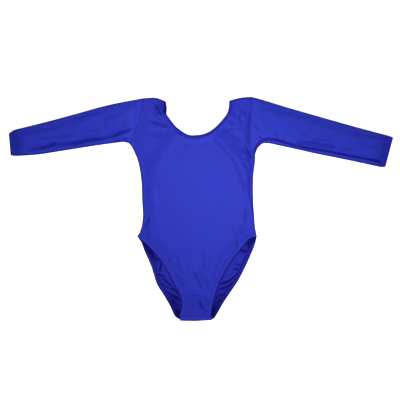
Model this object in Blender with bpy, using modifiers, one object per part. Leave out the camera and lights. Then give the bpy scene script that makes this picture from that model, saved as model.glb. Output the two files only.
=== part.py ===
"""A child's long-sleeved leotard in stretch cloth, laid flat on its back, as the pieces it is sewn from.

Run it with: blender --background --python part.py
The tables and sizes are in millimetres, and the objects are made in metres. X runs across the
garment from its sleeve at the viewer's left to the one at the right, Y runs from the crotch to
the neck, and Z is the height above the surface that the garment lies on.
Each cloth piece is an outer surface lofted between its edges, with its wall laid on the inside.
"""

import math
from collections import namedtuple

import bmesh
import bpy
import numpy as np

MM = 0.001
GARMENT = "leotard"

# Driving dimensions of the cloth
WALL = 1.0
SEAM_GAP = 0.3
ARMHOLE_GAP = 0.6
BODY_LOFT = 4.6
CUFF_LOFT = 4.2
ROLL = 4.5
SEAM_HEIGHT = 1.9
HIP_SEAM_HEIGHT = 3.3
HIP_SEAM_REACH = 22.0
FOLD_ROUNDING = 0.75
FOLD_CLEAR_OF_EDGE = 9.0

# Driving dimensions of the bands and the cuff hems
LEG_BAND_WIDTH = 8.5
NECK_BAND_WIDTH = 6.5
BAND_RISE = 0.2
CUFF_WALL = 1.5
CUFF_GAP = 0.8
LEG_SEAM_TURN = 10.0

# The crotch, where the back turns up round a fold and meets the front
CROTCH_SEAM_Y = -257.0
CROTCH_SEAM_LEFT_X = -43.5
CROTCH_SEAM_RIGHT_X = 16.0
CROTCH_FOLD_RADIUS = BODY_LOFT / 2
CROTCH_TURNS = (90.0, 50.0, 20.0, -10.0, -40.0, -65.0)

CURVE_STEPS = 16
FINE_STEPS = 60
SAME_POINT = 0.01
SHARP_DEGREES = 50.0
CLOTH_BLUE = (0.012, 0.017, 0.50, 1.0)
CLOTH_ROUGHNESS = 0.45

Point = namedtuple("Point", "x y")
SleeveSection = namedtuple("SleeveSection", "upper lower")
Fold = namedtuple("Fold", "start middle end half_width height")
Corner = namedtuple("Corner", "across depth")
Rows = namedtuple("Rows", "leg side middle_split")

# How the panels are divided: rows along the leg and the side, and the height on the middle
# line at which the first meets the second. Stations are shares of the armhole and of the neck.
FRONT_ROWS = Rows(leg=23, side=14, middle_split=0.47)
BACK_ROWS = Rows(leg=36, side=10, middle_split=0.49)
FRONT_NEAR_EDGE = (0.0, 0.5, 1.7, 4.0, 8.0, 13.0, 19.0, 26.0, 34.0)
BACK_NEAR_EDGE = (0.0, 6.0, 12.0, 19.0, 27.0, 36.0, 46.0, 58.0)
FRONT_MIDDLE_COLUMNS = 4
BACK_MIDDLE_COLUMNS = 2
FRONT_STATIONS = (0.0, 0.1, 0.2, 0.3, 0.4, 0.5, 0.6, 0.7, 0.79, 0.87, 0.935, 0.975, 0.992, 1.0)
BACK_STATIONS = (0.0, 0.1, 0.2, 0.3, 0.4, 0.5, 0.6, 0.7, 0.8, 0.9, 0.96, 1.0)

# Extra columns of a sleeve next to its folds, and its rings as shares of its length
FOLD_COLUMNS = (0.0, 0.008, 0.028, 0.06)
SLEEVE_RINGS = (
    0.0, 0.035, 0.08, 0.13, 0.19, 0.25, 0.31, 0.37, 0.43,
    0.49, 0.55, 0.61, 0.67, 0.73, 0.79, 0.86, 0.93, 1.0,
)
ARMHOLE_SHAPE_SHARE = 0.33
CUFF_COLUMNS = 9
CUFF_RINGS = 5

# Section of an edge band: shares of its width from the seam to the free edge, and depths in it
BAND_SECTION = (
    Corner(across=0.0, depth=0.0), Corner(across=0.8, depth=0.0), Corner(across=1.0, depth=0.8),
    Corner(across=0.85, depth=1.9), Corner(across=0.0, depth=1.9),
)

# Side edges, from just above the hip to the armpit
SIDE_LEFT = (
    Point(x=-147.0, y=-57.0), Point(x=-142.0, y=-40.0), Point(x=-139.3, y=-15.0),
    Point(x=-141.2, y=20.0), Point(x=-142.4, y=60.0), Point(x=-146.3, y=92.0),
    Point(x=-151.6, y=116.0), Point(x=-160.5, y=138.0), Point(x=-166.6, y=150.0),
    Point(x=-174.0, y=158.0),
)
SIDE_RIGHT = (
    Point(x=132.0, y=-57.0), Point(x=129.6, y=-42.0), Point(x=127.6, y=-15.0),
    Point(x=125.4, y=20.0), Point(x=125.0, y=70.0), Point(x=126.9, y=92.0),
    Point(x=129.6, y=112.0), Point(x=130.0, y=131.0),
)
HIP_LEFT = Point(x=-153.4, y=-65.8)
HIP_RIGHT = Point(x=134.0, y=-66.0)

# Armhole seams, from the armpit to the tip of the shoulder
ARMHOLE_LEFT = (
    Point(x=-174.0, y=158.0), Point(x=-170.0, y=166.0), Point(x=-160.5, y=184.0),
    Point(x=-153.2, y=201.0), Point(x=-146.0, y=228.0), Point(x=-141.0, y=250.0),
    Point(x=-139.5, y=265.4),
)
ARMHOLE_RIGHT = (
    Point(x=130.0, y=131.0), Point(x=122.5, y=141.0), Point(x=119.2, y=157.0),
    Point(x=118.1, y=190.0), Point(x=119.2, y=225.0), Point(x=120.2, y=246.0),
    Point(x=119.4, y=269.0),
)

# Shoulder edges, from the tip of the shoulder to the neck
SHOULDER_LEFT_FRONT = (
    Point(x=-139.5, y=265.4), Point(x=-125.0, y=266.6), Point(x=-112.0, y=267.0),
    Point(x=-101.5, y=264.9),
)
SHOULDER_LEFT_BACK = (
    Point(x=-139.5, y=265.4), Point(x=-125.0, y=266.6), Point(x=-112.0, y=267.0),
    Point(x=-101.0, y=264.9), Point(x=-90.0, y=260.6),
)
SHOULDER_RIGHT = (
    Point(x=119.4, y=269.0), Point(x=106.0, y=268.0), Point(x=94.0, y=266.6),
    Point(x=82.8, y=264.1), Point(x=74.0, y=261.4),
)

# Free edges of the neck, from the left shoulder down and up to the right shoulder
NECK_FRONT = (
    Point(x=-95.0, y=262.0), Point(x=-94.6, y=248.0), Point(x=-90.5, y=236.0),
    Point(x=-80.5, y=224.0), Point(x=-72.0, y=212.4), Point(x=-60.3, y=198.0),
    Point(x=-45.0, y=186.0), Point(x=-29.0, y=177.5), Point(x=-12.0, y=177.0),
    Point(x=6.0, y=179.6), Point(x=24.0, y=188.0), Point(x=41.3, y=202.8),
    Point(x=54.5, y=218.0), Point(x=62.8, y=230.0), Point(x=66.2, y=243.0),
    Point(x=67.2, y=258.8),
)
NECK_BACK = (
    Point(x=-84.0, y=257.0), Point(x=-81.8, y=243.0), Point(x=-82.2, y=226.0),
    Point(x=-76.0, y=203.0), Point(x=-60.0, y=180.0), Point(x=-38.0, y=166.0),
    Point(x=-13.0, y=161.5), Point(x=10.0, y=166.0), Point(x=34.0, y=181.0),
    Point(x=54.0, y=203.0), Point(x=66.0, y=226.0), Point(x=69.6, y=243.0),
    Point(x=69.5, y=259.5),
)

# Free edges of the legs, from the hip to the crotch
LEG_LEFT_FRONT = (
    HIP_LEFT, Point(x=-134.0, y=-81.0), Point(x=-119.5, y=-95.0),
    Point(x=-104.0, y=-112.0), Point(x=-86.0, y=-136.0), Point(x=-73.0, y=-160.0),
    Point(x=-61.0, y=-183.0), Point(x=-51.0, y=-202.0), Point(x=-46.0, y=-220.0),
    Point(x=-46.8, y=-238.0), Point(x=-52.0, y=CROTCH_SEAM_Y),
)
LEG_RIGHT_FRONT = (
    HIP_RIGHT, Point(x=120.0, y=-68.5), Point(x=108.7, y=-77.8),
    Point(x=90.5, y=-100.5), Point(x=71.0, y=-125.0), Point(x=51.5, y=-158.0),
    Point(x=37.2, y=-192.0), Point(x=28.1, y=-224.0), Point(x=24.3, y=-244.0),
    Point(x=23.6, y=CROTCH_SEAM_Y),
)
LEG_LEFT_BACK = (
    HIP_LEFT, Point(x=-143.2, y=-80.5), Point(x=-136.2, y=-99.6),
    Point(x=-120.5, y=-135.0), Point(x=-113.6, y=-157.0), Point(x=-105.5, y=-181.0),
    Point(x=-89.0, y=-207.6), Point(x=-75.0, y=-231.6), Point(x=-66.2, y=-250.8),
    Point(x=-61.6, y=-258.6),
)
LEG_RIGHT_BACK = (
    HIP_RIGHT, Point(x=131.0, y=-80.0), Point(x=124.0, y=-99.6),
    Point(x=108.0, y=-135.6), Point(x=89.5, y=-171.6), Point(x=65.5, y=-207.6),
    Point(x=53.6, y=-225.6), Point(x=43.8, y=-243.0), Point(x=32.5, y=-262.0),
)

# Middle line, crotch to neck, and the two ends of the fold at the crotch
CENTRE_FRONT = (
    Point(x=-14.0, y=CROTCH_SEAM_Y), Point(x=-12.0, y=-180.0), Point(x=-9.0, y=-60.0),
    Point(x=-9.0, y=60.0), Point(x=-13.0, y=169.9),
)
CENTRE_BACK = (
    Point(x=-13.0, y=-266.5), Point(x=-12.0, y=-180.0), Point(x=-9.0, y=-60.0),
    Point(x=-9.0, y=60.0), Point(x=-13.0, y=154.4),
)
CROTCH_FOLD_LEFT = Point(x=-41.5, y=-266.1)
CROTCH_FOLD_RIGHT = Point(x=17.5, y=-264.6)

# Sleeve sections: the points of the upper and the lower folded edge, from armhole to cuff seam
SLEEVE_LEFT = (
    SleeveSection(upper=Point(-139.5, 265.4), lower=Point(-174.0, 158.0)),
    SleeveSection(upper=Point(-160.0, 261.5), lower=Point(-185.0, 160.2)),
    SleeveSection(upper=Point(-193.0, 255.6), lower=Point(-210.0, 157.6)),
    SleeveSection(upper=Point(-241.0, 244.6), lower=Point(-251.0, 152.0)),
    SleeveSection(upper=Point(-289.0, 231.2), lower=Point(-297.0, 144.8)),
    SleeveSection(upper=Point(-337.0, 218.0), lower=Point(-344.0, 137.3)),
    SleeveSection(upper=Point(-385.0, 205.4), lower=Point(-391.0, 130.2)),
    SleeveSection(upper=Point(-442.0, 191.4), lower=Point(-438.5, 127.0)),
)
SLEEVE_RIGHT = (
    SleeveSection(upper=Point(119.4, 269.0), lower=Point(130.0, 131.0)),
    SleeveSection(upper=Point(134.0, 265.6), lower=Point(137.6, 148.0)),
    SleeveSection(upper=Point(152.0, 260.5), lower=Point(152.5, 157.6)),
    SleeveSection(upper=Point(190.0, 248.7), lower=Point(191.0, 151.2)),
    SleeveSection(upper=Point(238.8, 234.3), lower=Point(232.0, 142.3)),
    SleeveSection(upper=Point(286.8, 220.7), lower=Point(276.0, 132.4)),
    SleeveSection(upper=Point(334.8, 207.0), lower=Point(321.0, 123.4)),
    SleeveSection(upper=Point(382.8, 193.6), lower=Point(368.0, 113.7)),
    SleeveSection(upper=Point(444.5, 177.2), lower=Point(426.0, 101.2)),
)
CUFF_LEFT = (
    SLEEVE_LEFT[-1],
    SleeveSection(upper=Point(-450.5, 188.4), lower=Point(-447.5, 127.0)),
    SleeveSection(upper=Point(-460.8, 181.0), lower=Point(-456.2, 128.6)),
)
CUFF_RIGHT = (
    SLEEVE_RIGHT[-1],
    SleeveSection(upper=Point(452.8, 174.6), lower=Point(434.0, 99.8)),
    SleeveSection(upper=Point(460.8, 171.8), lower=Point(442.2, 101.4)),
)

# Folds in the upper layer. A height above zero is a ridge and one below it is a trough.
FRONT_FOLDS = (
    Fold(Point(-115.0, 262.0), Point(-104.0, 238.0), Point(-84.0, 217.0), 6.0, -1.7),
    Fold(Point(-104.0, 262.0), Point(-97.0, 241.0), Point(-86.0, 226.0), 5.0, 1.2),
    Fold(Point(-137.0, 213.0), Point(-108.0, 210.0), Point(-82.0, 200.0), 7.0, 0.8),
    Fold(Point(108.0, 152.0), Point(114.0, 139.0), Point(121.0, 124.0), 5.0, -1.7),
    Fold(Point(100.0, 123.0), Point(108.0, 113.0), Point(116.0, 103.0), 5.0, -1.2),
    Fold(Point(115.0, 250.0), Point(112.0, 205.0), Point(113.0, 160.0), 8.0, -1.0),
    Fold(Point(-119.0, -25.0), Point(-126.0, -38.0), Point(-131.5, -52.0), 5.5, -1.7),
    Fold(Point(-124.0, -55.0), Point(-123.0, -64.0), Point(-122.0, -76.0), 4.5, -1.1),
    Fold(Point(86.0, -70.0), Point(87.0, -80.0), Point(84.0, -92.0), 4.5, -0.9),
    Fold(Point(-29.0, -128.0), Point(-17.0, -156.0), Point(-4.0, -186.0), 5.0, -1.2),
    Fold(Point(-16.0, -122.0), Point(-6.0, -152.0), Point(6.0, -180.0), 6.0, 0.9),
    Fold(Point(10.0, -150.0), Point(16.0, -172.0), Point(19.0, -194.0), 5.0, -1.1),
    Fold(Point(-52.0, -158.0), Point(-36.0, -176.0), Point(-20.0, -200.0), 6.0, 0.8),
    Fold(Point(-4.0, -210.0), Point(-1.0, -228.0), Point(10.0, -244.0), 4.0, -1.6),
    Fold(Point(1.0, -212.0), Point(6.0, -222.0), Point(12.0, -234.0), 4.5, 0.8),
)
SLEEVE_LEFT_FOLDS = (
    Fold(Point(-412.0, 138.5), Point(-386.0, 146.4), Point(-352.0, 154.6), 5.0, -1.4),
    Fold(Point(-352.0, 152.0), Point(-278.0, 161.0), Point(-211.0, 174.0), 5.5, -1.7),
    Fold(Point(-216.0, 174.0), Point(-190.0, 181.0), Point(-162.0, 190.0), 7.0, -1.2),
    Fold(Point(-420.0, 178.0), Point(-340.0, 192.0), Point(-262.0, 203.0), 9.0, -0.7),
)
SLEEVE_RIGHT_FOLDS = (
    Fold(Point(148.0, 164.0), Point(185.0, 165.5), Point(222.0, 151.0), 4.5, -1.7),
    Fold(Point(214.0, 153.0), Point(330.0, 132.0), Point(424.0, 113.5), 4.5, -1.9),
    Fold(Point(236.0, 158.0), Point(282.0, 150.0), Point(325.0, 151.0), 7.0, -0.9),
    Fold(Point(340.0, 160.0), Point(380.0, 170.0), Point(418.0, 164.0), 9.0, -0.6),
)
# Ripples in the back, seen on its inner side through the leg openings
BACK_FOLDS = (
    Fold(Point(-116.0, -100.0), Point(-108.0, -106.0), Point(-100.0, -112.0), 5.0, 1.3),
    Fold(Point(-110.0, -118.0), Point(-105.0, -134.0), Point(-101.0, -150.0), 8.0, 1.8),
    Fold(Point(-90.0, -136.0), Point(-94.0, -150.0), Point(-97.0, -163.0), 6.0, 1.5),
    Fold(Point(-98.0, -170.0), Point(-82.0, -182.0), Point(-68.0, -190.0), 6.0, 1.6),
    Fold(Point(-92.0, -186.0), Point(-76.0, -200.0), Point(-56.0, -210.0), 5.5, 1.8),
    Fold(Point(-80.0, -204.0), Point(-66.0, -214.0), Point(-48.0, -222.0), 5.0, 1.7),
    Fold(Point(-70.0, -222.0), Point(-60.0, -232.0), Point(-48.0, -238.0), 5.0, 1.5),
    Fold(Point(106.0, -82.0), Point(112.0, -92.0), Point(118.0, -100.0), 5.0, 1.3),
    Fold(Point(98.0, -106.0), Point(84.0, -128.0), Point(70.0, -150.0), 12.0, 1.8),
    Fold(Point(56.0, -172.0), Point(70.0, -166.0), Point(84.0, -162.0), 6.0, 1.7),
    Fold(Point(44.0, -194.0), Point(58.0, -184.0), Point(76.0, -177.0), 5.5, 1.8),
    Fold(Point(38.0, -210.0), Point(50.0, -198.0), Point(64.0, -188.0), 5.0, 1.7),
    Fold(Point(34.0, -226.0), Point(42.0, -215.0), Point(52.0, -206.0), 5.0, 1.5),
    Fold(Point(28.0, -246.0), Point(34.0, -234.0), Point(42.0, -222.0), 5.0, 1.3),
)
LEG_EDGES = {
    ("left", "front"): LEG_LEFT_FRONT,
    ("left", "back"): LEG_LEFT_BACK,
    ("right", "front"): LEG_RIGHT_FRONT,
    ("right", "back"): LEG_RIGHT_BACK,
}


def smooth_curve(points):
    """Closely spaced points on a smooth curve through the given ones."""
    given = np.array([(p[0], p[1]) for p in points], float)
    reach = np.concatenate([[0.0], np.cumsum(np.linalg.norm(np.diff(given, axis=0), axis=1))])
    slope = np.empty_like(given)
    slope[1:-1] = (given[2:] - given[:-2]) / (reach[2:] - reach[:-2])[:, None]
    slope[0] = (given[1] - given[0]) / (reach[1] - reach[0])
    slope[-1] = (given[-1] - given[-2]) / (reach[-1] - reach[-2])
    made = []
    for i in range(len(given) - 1):
        span = reach[i + 1] - reach[i]
        t = np.linspace(0.0, 1.0, CURVE_STEPS, endpoint=False)[:, None]
        made.append(
            (2 * t**3 - 3 * t**2 + 1) * given[i]
            + (t**3 - 2 * t**2 + t) * span * slope[i]
            + (3 * t**2 - 2 * t**3) * given[i + 1]
            + (t**3 - t**2) * span * slope[i + 1]
        )
    return np.concatenate(made + [given[-1:]])


def share_of_way(line):
    """The share of a line's length at each of its points."""
    reach = np.concatenate([[0.0], np.cumsum(np.linalg.norm(np.diff(line, axis=0), axis=1))])
    return reach / reach[-1]


def at_shares(curve, shares):
    """The points of a curve at these shares of its length."""
    return at_stations(curve, share_of_way(curve), shares)


def at_stations(points, stations, shares):
    """Points between stations, on the straight lines from each station's point to the next."""
    return np.stack([np.interp(shares, stations, points[:, k]) for k in range(points.shape[1])], axis=1)


def nearest_on(curve, places):
    """The point of a curve that is nearest to each place."""
    places = np.asarray(places, float).reshape(-1, 2)
    start, step = curve[:-1], np.diff(curve, axis=0)
    along = ((places[:, None] - start) * step).sum(2) / np.maximum((step**2).sum(1), 1e-9)
    foot = start + np.clip(along, 0.0, 1.0)[:, :, None] * step
    best = np.linalg.norm(places[:, None] - foot, axis=2).argmin(axis=1)
    return foot[np.arange(len(places)), best]


def distance_to(curve, places):
    """How far each place is from a curve."""
    places = np.asarray(places, float).reshape(-1, 2)
    return np.linalg.norm(places - nearest_on(curve, places), axis=1)


def ease(share):
    """0 to 1 with a soft start and end."""
    share = np.clip(share, 0.0, 1.0)
    return share * share * (3 - 2 * share)


def quarter_round(share):
    """The rise of a quarter of an ellipse, 0 at its foot and 1 where it levels out."""
    return np.sqrt(1.0 - (1.0 - np.clip(share, 0.0, 1.0)) ** 2)


def fold_heights(folds, places):
    """What the folds add to the height at each place: a soft bell across, fading out at both ends."""
    total = np.zeros(len(places))
    for fold in folds:
        line = smooth_curve((fold.start, fold.middle, fold.end))
        away = np.clip(distance_to(line, places) / fold.half_width, 0.0, 1.0)
        total += fold.height * np.cos(away * math.pi / 2) ** 2
    return total


def beside(curve, distance):
    """The line at this distance to the left of a curve, as it runs."""
    run = np.gradient(curve, axis=0)
    run /= np.linalg.norm(run, axis=1)[:, None]
    return curve + distance * np.stack([-run[:, 1], run[:, 0]], axis=1)


def leg_seam(edge, hip, crotch, width):
    """Where the leg band joins its panel: from the side, inside the free edge, to the crotch."""
    line = beside(smooth_curve(edge), width)
    from_hip = np.linalg.norm(line - np.array(hip), axis=1)
    from_crotch = np.linalg.norm(line - np.array(crotch), axis=1)
    kept = line[(from_hip > LEG_SEAM_TURN) & (from_crotch > LEG_SEAM_TURN)]
    return smooth_curve([hip, *kept[::CURVE_STEPS // 2], crotch])


SIDES = (smooth_curve(SIDE_LEFT), smooth_curve(SIDE_RIGHT))
SHOULDERS = (smooth_curve(SHOULDER_LEFT_FRONT), smooth_curve(SHOULDER_RIGHT))
FREE_EDGES = (smooth_curve(NECK_FRONT), smooth_curve(LEG_LEFT_FRONT), smooth_curve(LEG_RIGHT_FRONT))


def front_height(places):
    """Height of the outer face of the front, which rolls down to the back at the sides and shoulders."""
    places = np.asarray(places, float).reshape(-1, 2)
    from_edge = np.min([distance_to(curve, places) for curve in SIDES + SHOULDERS], axis=0)
    hips = np.array((HIP_LEFT, HIP_RIGHT))
    from_hip = np.linalg.norm(places[:, None] - hips, axis=2).min(axis=1)
    foot = HIP_SEAM_HEIGHT + (SEAM_HEIGHT - HIP_SEAM_HEIGHT) * ease(from_hip / HIP_SEAM_REACH)
    from_free = np.min([distance_to(curve, places) for curve in FREE_EDGES], axis=0)
    clear = np.minimum(from_edge, from_free - NECK_BAND_WIDTH) / FOLD_CLEAR_OF_EDGE
    folds = fold_heights(FRONT_FOLDS, places) * ease(clear)
    return foot + (BODY_LOFT - foot) * quarter_round(from_edge / ROLL) + folds


def back_height(places, seams):
    """Height of the outer face of the back, which lies on the surface but for its ripples."""
    places = np.asarray(places, float).reshape(-1, 2)
    from_band = np.min([distance_to(seam, places) for seam in seams], axis=0)
    return np.maximum(fold_heights(BACK_FOLDS, places), 0.0) * ease(from_band / FOLD_CLEAR_OF_EDGE)


def across(outer, inner, near_edge, columns):
    """Points on the line from an edge to the middle, close together near the edge.

    Where the line is short, the columns near the edge take up half of it.
    """
    length = np.linalg.norm(inner - outer)
    near = np.array(near_edge) * min(1.0, length / (2 * near_edge[-1]))
    shares = np.concatenate([near, np.linspace(near[-1], length, columns + 1)[1:]]) / length
    return outer + shares[:, None] * (inner - outer)


def half_panel(lines, middle, middle_split, rows, stations, columns):
    """A half of the front or back in plan: rows of points from its outer edge to the middle or neck."""
    leg, side, armhole, shoulder, neck = lines
    low = at_shares(middle, np.linspace(0.0, middle_split, FINE_STEPS))
    high = at_shares(middle, np.linspace(middle_split, 1.0, FINE_STEPS))
    grid = []
    for outer_line, inner_line, shares in (
        (leg, low, np.linspace(0.0, 1.0, rows.leg)),
        (side, high, np.linspace(0.0, 1.0, rows.side)[1:]),
        (armhole, neck, stations[1:]),
    ):
        ends = zip(at_shares(outer_line, shares), at_shares(inner_line, shares))
        grid += [across(outer, inner, *columns) for outer, inner in ends]
    grid = np.array(grid)
    bow = at_shares(shoulder, share_of_way(grid[-1])) - grid[-1]
    strap = ease(np.array(stations[1:]))
    grid[-len(strap) :] += strap[:, None, None] * bow
    return grid


def quads(shape, first, turned):
    """Faces of a grid of points that are numbered row by row from first."""
    rows, columns = shape
    faces = []
    for r in range(rows - 1):
        for c in range(columns - 1):
            a = first + r * columns + c
            corners = (a, a + 1, a + columns + 1, a + columns)
            faces.append(corners[::-1] if turned else corners)
    return faces


def ring_quads(rings, around, turned):
    """Faces between rings of points, each ring closed."""
    faces = []
    for r in range(rings - 1):
        for c in range(around):
            d = (c + 1) % around
            corners = (r * around + c, r * around + d, (r + 1) * around + d, (r + 1) * around + c)
            faces.append(corners[::-1] if turned else corners)
    return faces


def blue_material(name):
    """Royal blue stretch cloth with a soft sheen."""
    material = bpy.data.materials.new(name)
    material.use_nodes = True
    shader = material.node_tree.nodes["Principled BSDF"]
    shader.inputs["Base Color"].default_value = CLOTH_BLUE
    shader.inputs["Roughness"].default_value = CLOTH_ROUGHNESS
    shader.inputs["Metallic"].default_value = 0.0
    material.diffuse_color = CLOTH_BLUE
    return material


def new_object(name, points, faces):
    """A mesh object from points in millimetres, with points that coincide made one."""
    mesh = bpy.data.meshes.new(name)
    mesh.from_pydata([tuple(float(v) * MM for v in p) for p in points], [], faces)
    work = bmesh.new()
    work.from_mesh(mesh)
    bmesh.ops.remove_doubles(work, verts=work.verts, dist=SAME_POINT * MM)
    work.to_mesh(mesh)
    work.free()
    mesh.shade_smooth()
    mesh.materials.append(blue_material(name + "_cloth"))
    made = bpy.data.objects.new(name, mesh)
    bpy.data.collections[GARMENT].objects.link(made)
    return made


def add_wall(cloth, thickness):
    """Lays a wall of this thickness on the inner side of a cloth surface."""
    wall = cloth.modifiers.new("Wall", "SOLIDIFY")
    wall.thickness = thickness * MM
    wall.offset = -1.0
    wall.use_even_offset = True
    wall.use_rim = True


def lifted(grid, heights):
    """Plan points with their heights, as a grid of the same shape."""
    return np.concatenate([grid, np.reshape(heights, grid.shape[:2] + (1,))], axis=2)


def panel_object(name, halves):
    """A panel from its left and right half grids, which share the points of the middle line."""
    points, faces = [], []
    for grid, turned in halves:
        faces += quads(grid.shape[:2], len(points), turned)
        points += list(grid.reshape(-1, 3))
    add_wall(new_object(name, points, faces), WALL)


def body_lines(side_name, layer):
    """The edges of a half of the front or back, each running from the crotch towards the shoulder."""
    left = side_name == "left"
    front = layer == "front"
    side = SIDES[0] if left else SIDES[1]
    crotch_x = CROTCH_SEAM_LEFT_X if left else CROTCH_SEAM_RIGHT_X
    fold = CROTCH_FOLD_LEFT if left else CROTCH_FOLD_RIGHT
    crotch = (crotch_x, CROTCH_SEAM_Y) if front else tuple(fold)
    free_leg = LEG_EDGES[side_name, layer]
    leg = leg_seam(free_leg, tuple(side[0]), crotch, LEG_BAND_WIDTH if left else -LEG_BAND_WIDTH)[::-1]
    armhole = smooth_curve(ARMHOLE_LEFT if left else ARMHOLE_RIGHT)
    left_shoulder = SHOULDER_LEFT_FRONT if front else SHOULDER_LEFT_BACK
    shoulder = smooth_curve(left_shoulder if left else SHOULDER_RIGHT)
    middle_end = np.array((CENTRE_FRONT if front else CENTRE_BACK)[-1], float)
    neck = beside(smooth_curve(NECK_FRONT if front else NECK_BACK), -NECK_BAND_WIDTH)
    split = int(np.argmin(np.linalg.norm(neck - middle_end, axis=1)))
    half_neck = neck[:split][::-1] if left else neck[split + 1 :]
    return leg, side, armhole, shoulder, np.concatenate([[middle_end], half_neck])


def panel_grid(side_name, layer):
    """A half of the front or back as points in plan, and its leg seam."""
    front = layer == "front"
    lines = body_lines(side_name, layer)
    middle = smooth_curve(CENTRE_FRONT if front else CENTRE_BACK)
    rows = FRONT_ROWS if front else BACK_ROWS
    stations = FRONT_STATIONS if front else BACK_STATIONS
    columns = (FRONT_NEAR_EDGE, FRONT_MIDDLE_COLUMNS) if front else (BACK_NEAR_EDGE, BACK_MIDDLE_COLUMNS)
    return half_panel(lines, middle, rows.middle_split, rows, stations, columns), lines[0]


def crotch_turn(fold_row):
    """Rows that carry the back up round the crotch fold to its seam on the front, seam first."""
    seam_y = np.full(len(fold_row), CROTCH_SEAM_Y - SEAM_GAP)
    rows = [np.column_stack([fold_row[:, 0], seam_y, np.full(len(fold_row), BODY_LOFT)])]
    for turn in np.radians(CROTCH_TURNS):
        y = fold_row[:, 1] - CROTCH_FOLD_RADIUS * math.cos(turn)
        z = np.full(len(fold_row), CROTCH_FOLD_RADIUS * (1.0 + math.sin(turn)))
        rows.append(np.column_stack([fold_row[:, 0], y, z]))
    return rows


def front_panel():
    """Front of the body: two halves that meet on the middle line and part round the neck."""
    grids = {name: panel_grid(name, "front")[0] for name in ("left", "right")}
    panel_object("front", [
        (lifted(grid, front_height(grid)), name == "right") for name, grid in grids.items()
    ])
    return grids


def back_panel():
    """Back of the body, which lies on the surface and turns up round the crotch to the front."""
    made = {name: panel_grid(name, "back") for name in ("left", "right")}
    seams = [seam for _, seam in made.values()]
    halves = []
    for name, (grid, _) in made.items():
        turn = np.array(crotch_turn(grid[0]))
        flat = lifted(grid, back_height(grid, seams))
        halves.append((np.concatenate([turn, flat]), name == "left"))
    panel_object("back", halves)
    return {name: grid for name, (grid, _) in made.items()}


def sleeve_columns(stations, edge_shares):
    """Where the columns of a sleeve layer lie, from the shoulder fold to the underarm fold."""
    both_folds = set(edge_shares) | {1.0 - share for share in edge_shares}
    return 1.0 - np.array(sorted(set(stations) | both_folds))[::-1]


def armhole_line(armhole, stations, way, outward):
    """Points just outside the armhole, on the straight lines between the body's rows."""
    rows = at_shares(smooth_curve(armhole), stations)
    return at_stations(beside(rows, -outward * ARMHOLE_GAP), stations, 1.0 - way)


def tube_heights(way, width, loft, upper):
    """Heights round a flattened tube: level in the middle and rounded at its folded edges."""
    from_edge = np.minimum(way, 1.0 - way) * width
    rise = quarter_round(from_edge / (FOLD_ROUNDING * loft))
    return loft / 2 * (1.0 + rise if upper else 1.0 - rise)


def tube_object(name, rings, thickness, turned):
    """A tube through rings of points, open at both ends, with its wall on the inside."""
    faces = ring_quads(*rings.shape[:2], turned)
    add_wall(new_object(name, rings.reshape(-1, 3), faces), thickness)


def tube_ring(top, bottom, loft, layers):
    """One ring of a flattened tube between two folded edges. A layer has its columns and its bow."""
    ring = []
    for upper, way, bow in layers:
        plan = top + way[:, None] * (bottom - top) + bow
        heights = tube_heights(way, np.linalg.norm(bottom - top), loft, upper)
        points = np.column_stack([plan, heights])
        ring.append(points if upper else points[-2:0:-1])
    return np.concatenate(ring)


def sleeve(side, sections, armhole, folds, outward):
    """A sleeve laid flat. Its first ring follows the armhole, and the rest straighten to the cuff."""
    upper_edge = smooth_curve([section.upper for section in sections])
    lower_edge = smooth_curve([section.lower for section in sections])
    columns = (
        (True, sleeve_columns(FRONT_STATIONS, FOLD_COLUMNS), FRONT_STATIONS),
        (False, sleeve_columns(BACK_STATIONS, FOLD_COLUMNS), BACK_STATIONS),
    )
    rings = []
    for share in SLEEVE_RINGS:
        top, bottom = at_shares(upper_edge, [share])[0], at_shares(lower_edge, [share])[0]
        layers = []
        for upper, way, stations in columns:
            line = armhole_line(armhole, stations, way, outward)
            bow = line - (upper_edge[0] + way[:, None] * (lower_edge[0] - upper_edge[0]))
            layers.append((upper, way, bow * (1.0 - ease(share / ARMHOLE_SHAPE_SHARE))))
        ring = tube_ring(top, bottom, BODY_LOFT + (CUFF_LOFT - BODY_LOFT) * share, layers)
        over = len(layers[0][1])
        from_fold = np.minimum(layers[0][1], 1.0 - layers[0][1]) * np.linalg.norm(bottom - top)
        ring[:over, 2] += fold_heights(folds, ring[:over, :2]) * ease(from_fold / FOLD_CLEAR_OF_EDGE)
        rings.append(ring)
    tube_object("sleeve_" + side, np.array(rings), WALL, outward < 0)


def cuff(side, sections, outward):
    """The turned hem at the wrist: a short flattened tube of two thicknesses of cloth."""
    way = sleeve_columns(np.linspace(0.0, 1.0, CUFF_COLUMNS), FOLD_COLUMNS)
    shares = np.linspace(0.0, 1.0, CUFF_RINGS)
    tops = at_shares(smooth_curve([section.upper for section in sections]), shares)
    bottoms = at_shares(smooth_curve([section.lower for section in sections]), shares)
    rings = []
    for share, top, bottom in zip(shares, tops, bottoms):
        gap = np.array([outward * CUFF_GAP * (1.0 - share), 0.0])
        rings.append(tube_ring(top, bottom, CUFF_LOFT, ((True, way, gap), (False, way, gap))))
    tube_object("cuff_" + side, np.array(rings), CUFF_WALL, outward < 0)


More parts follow.
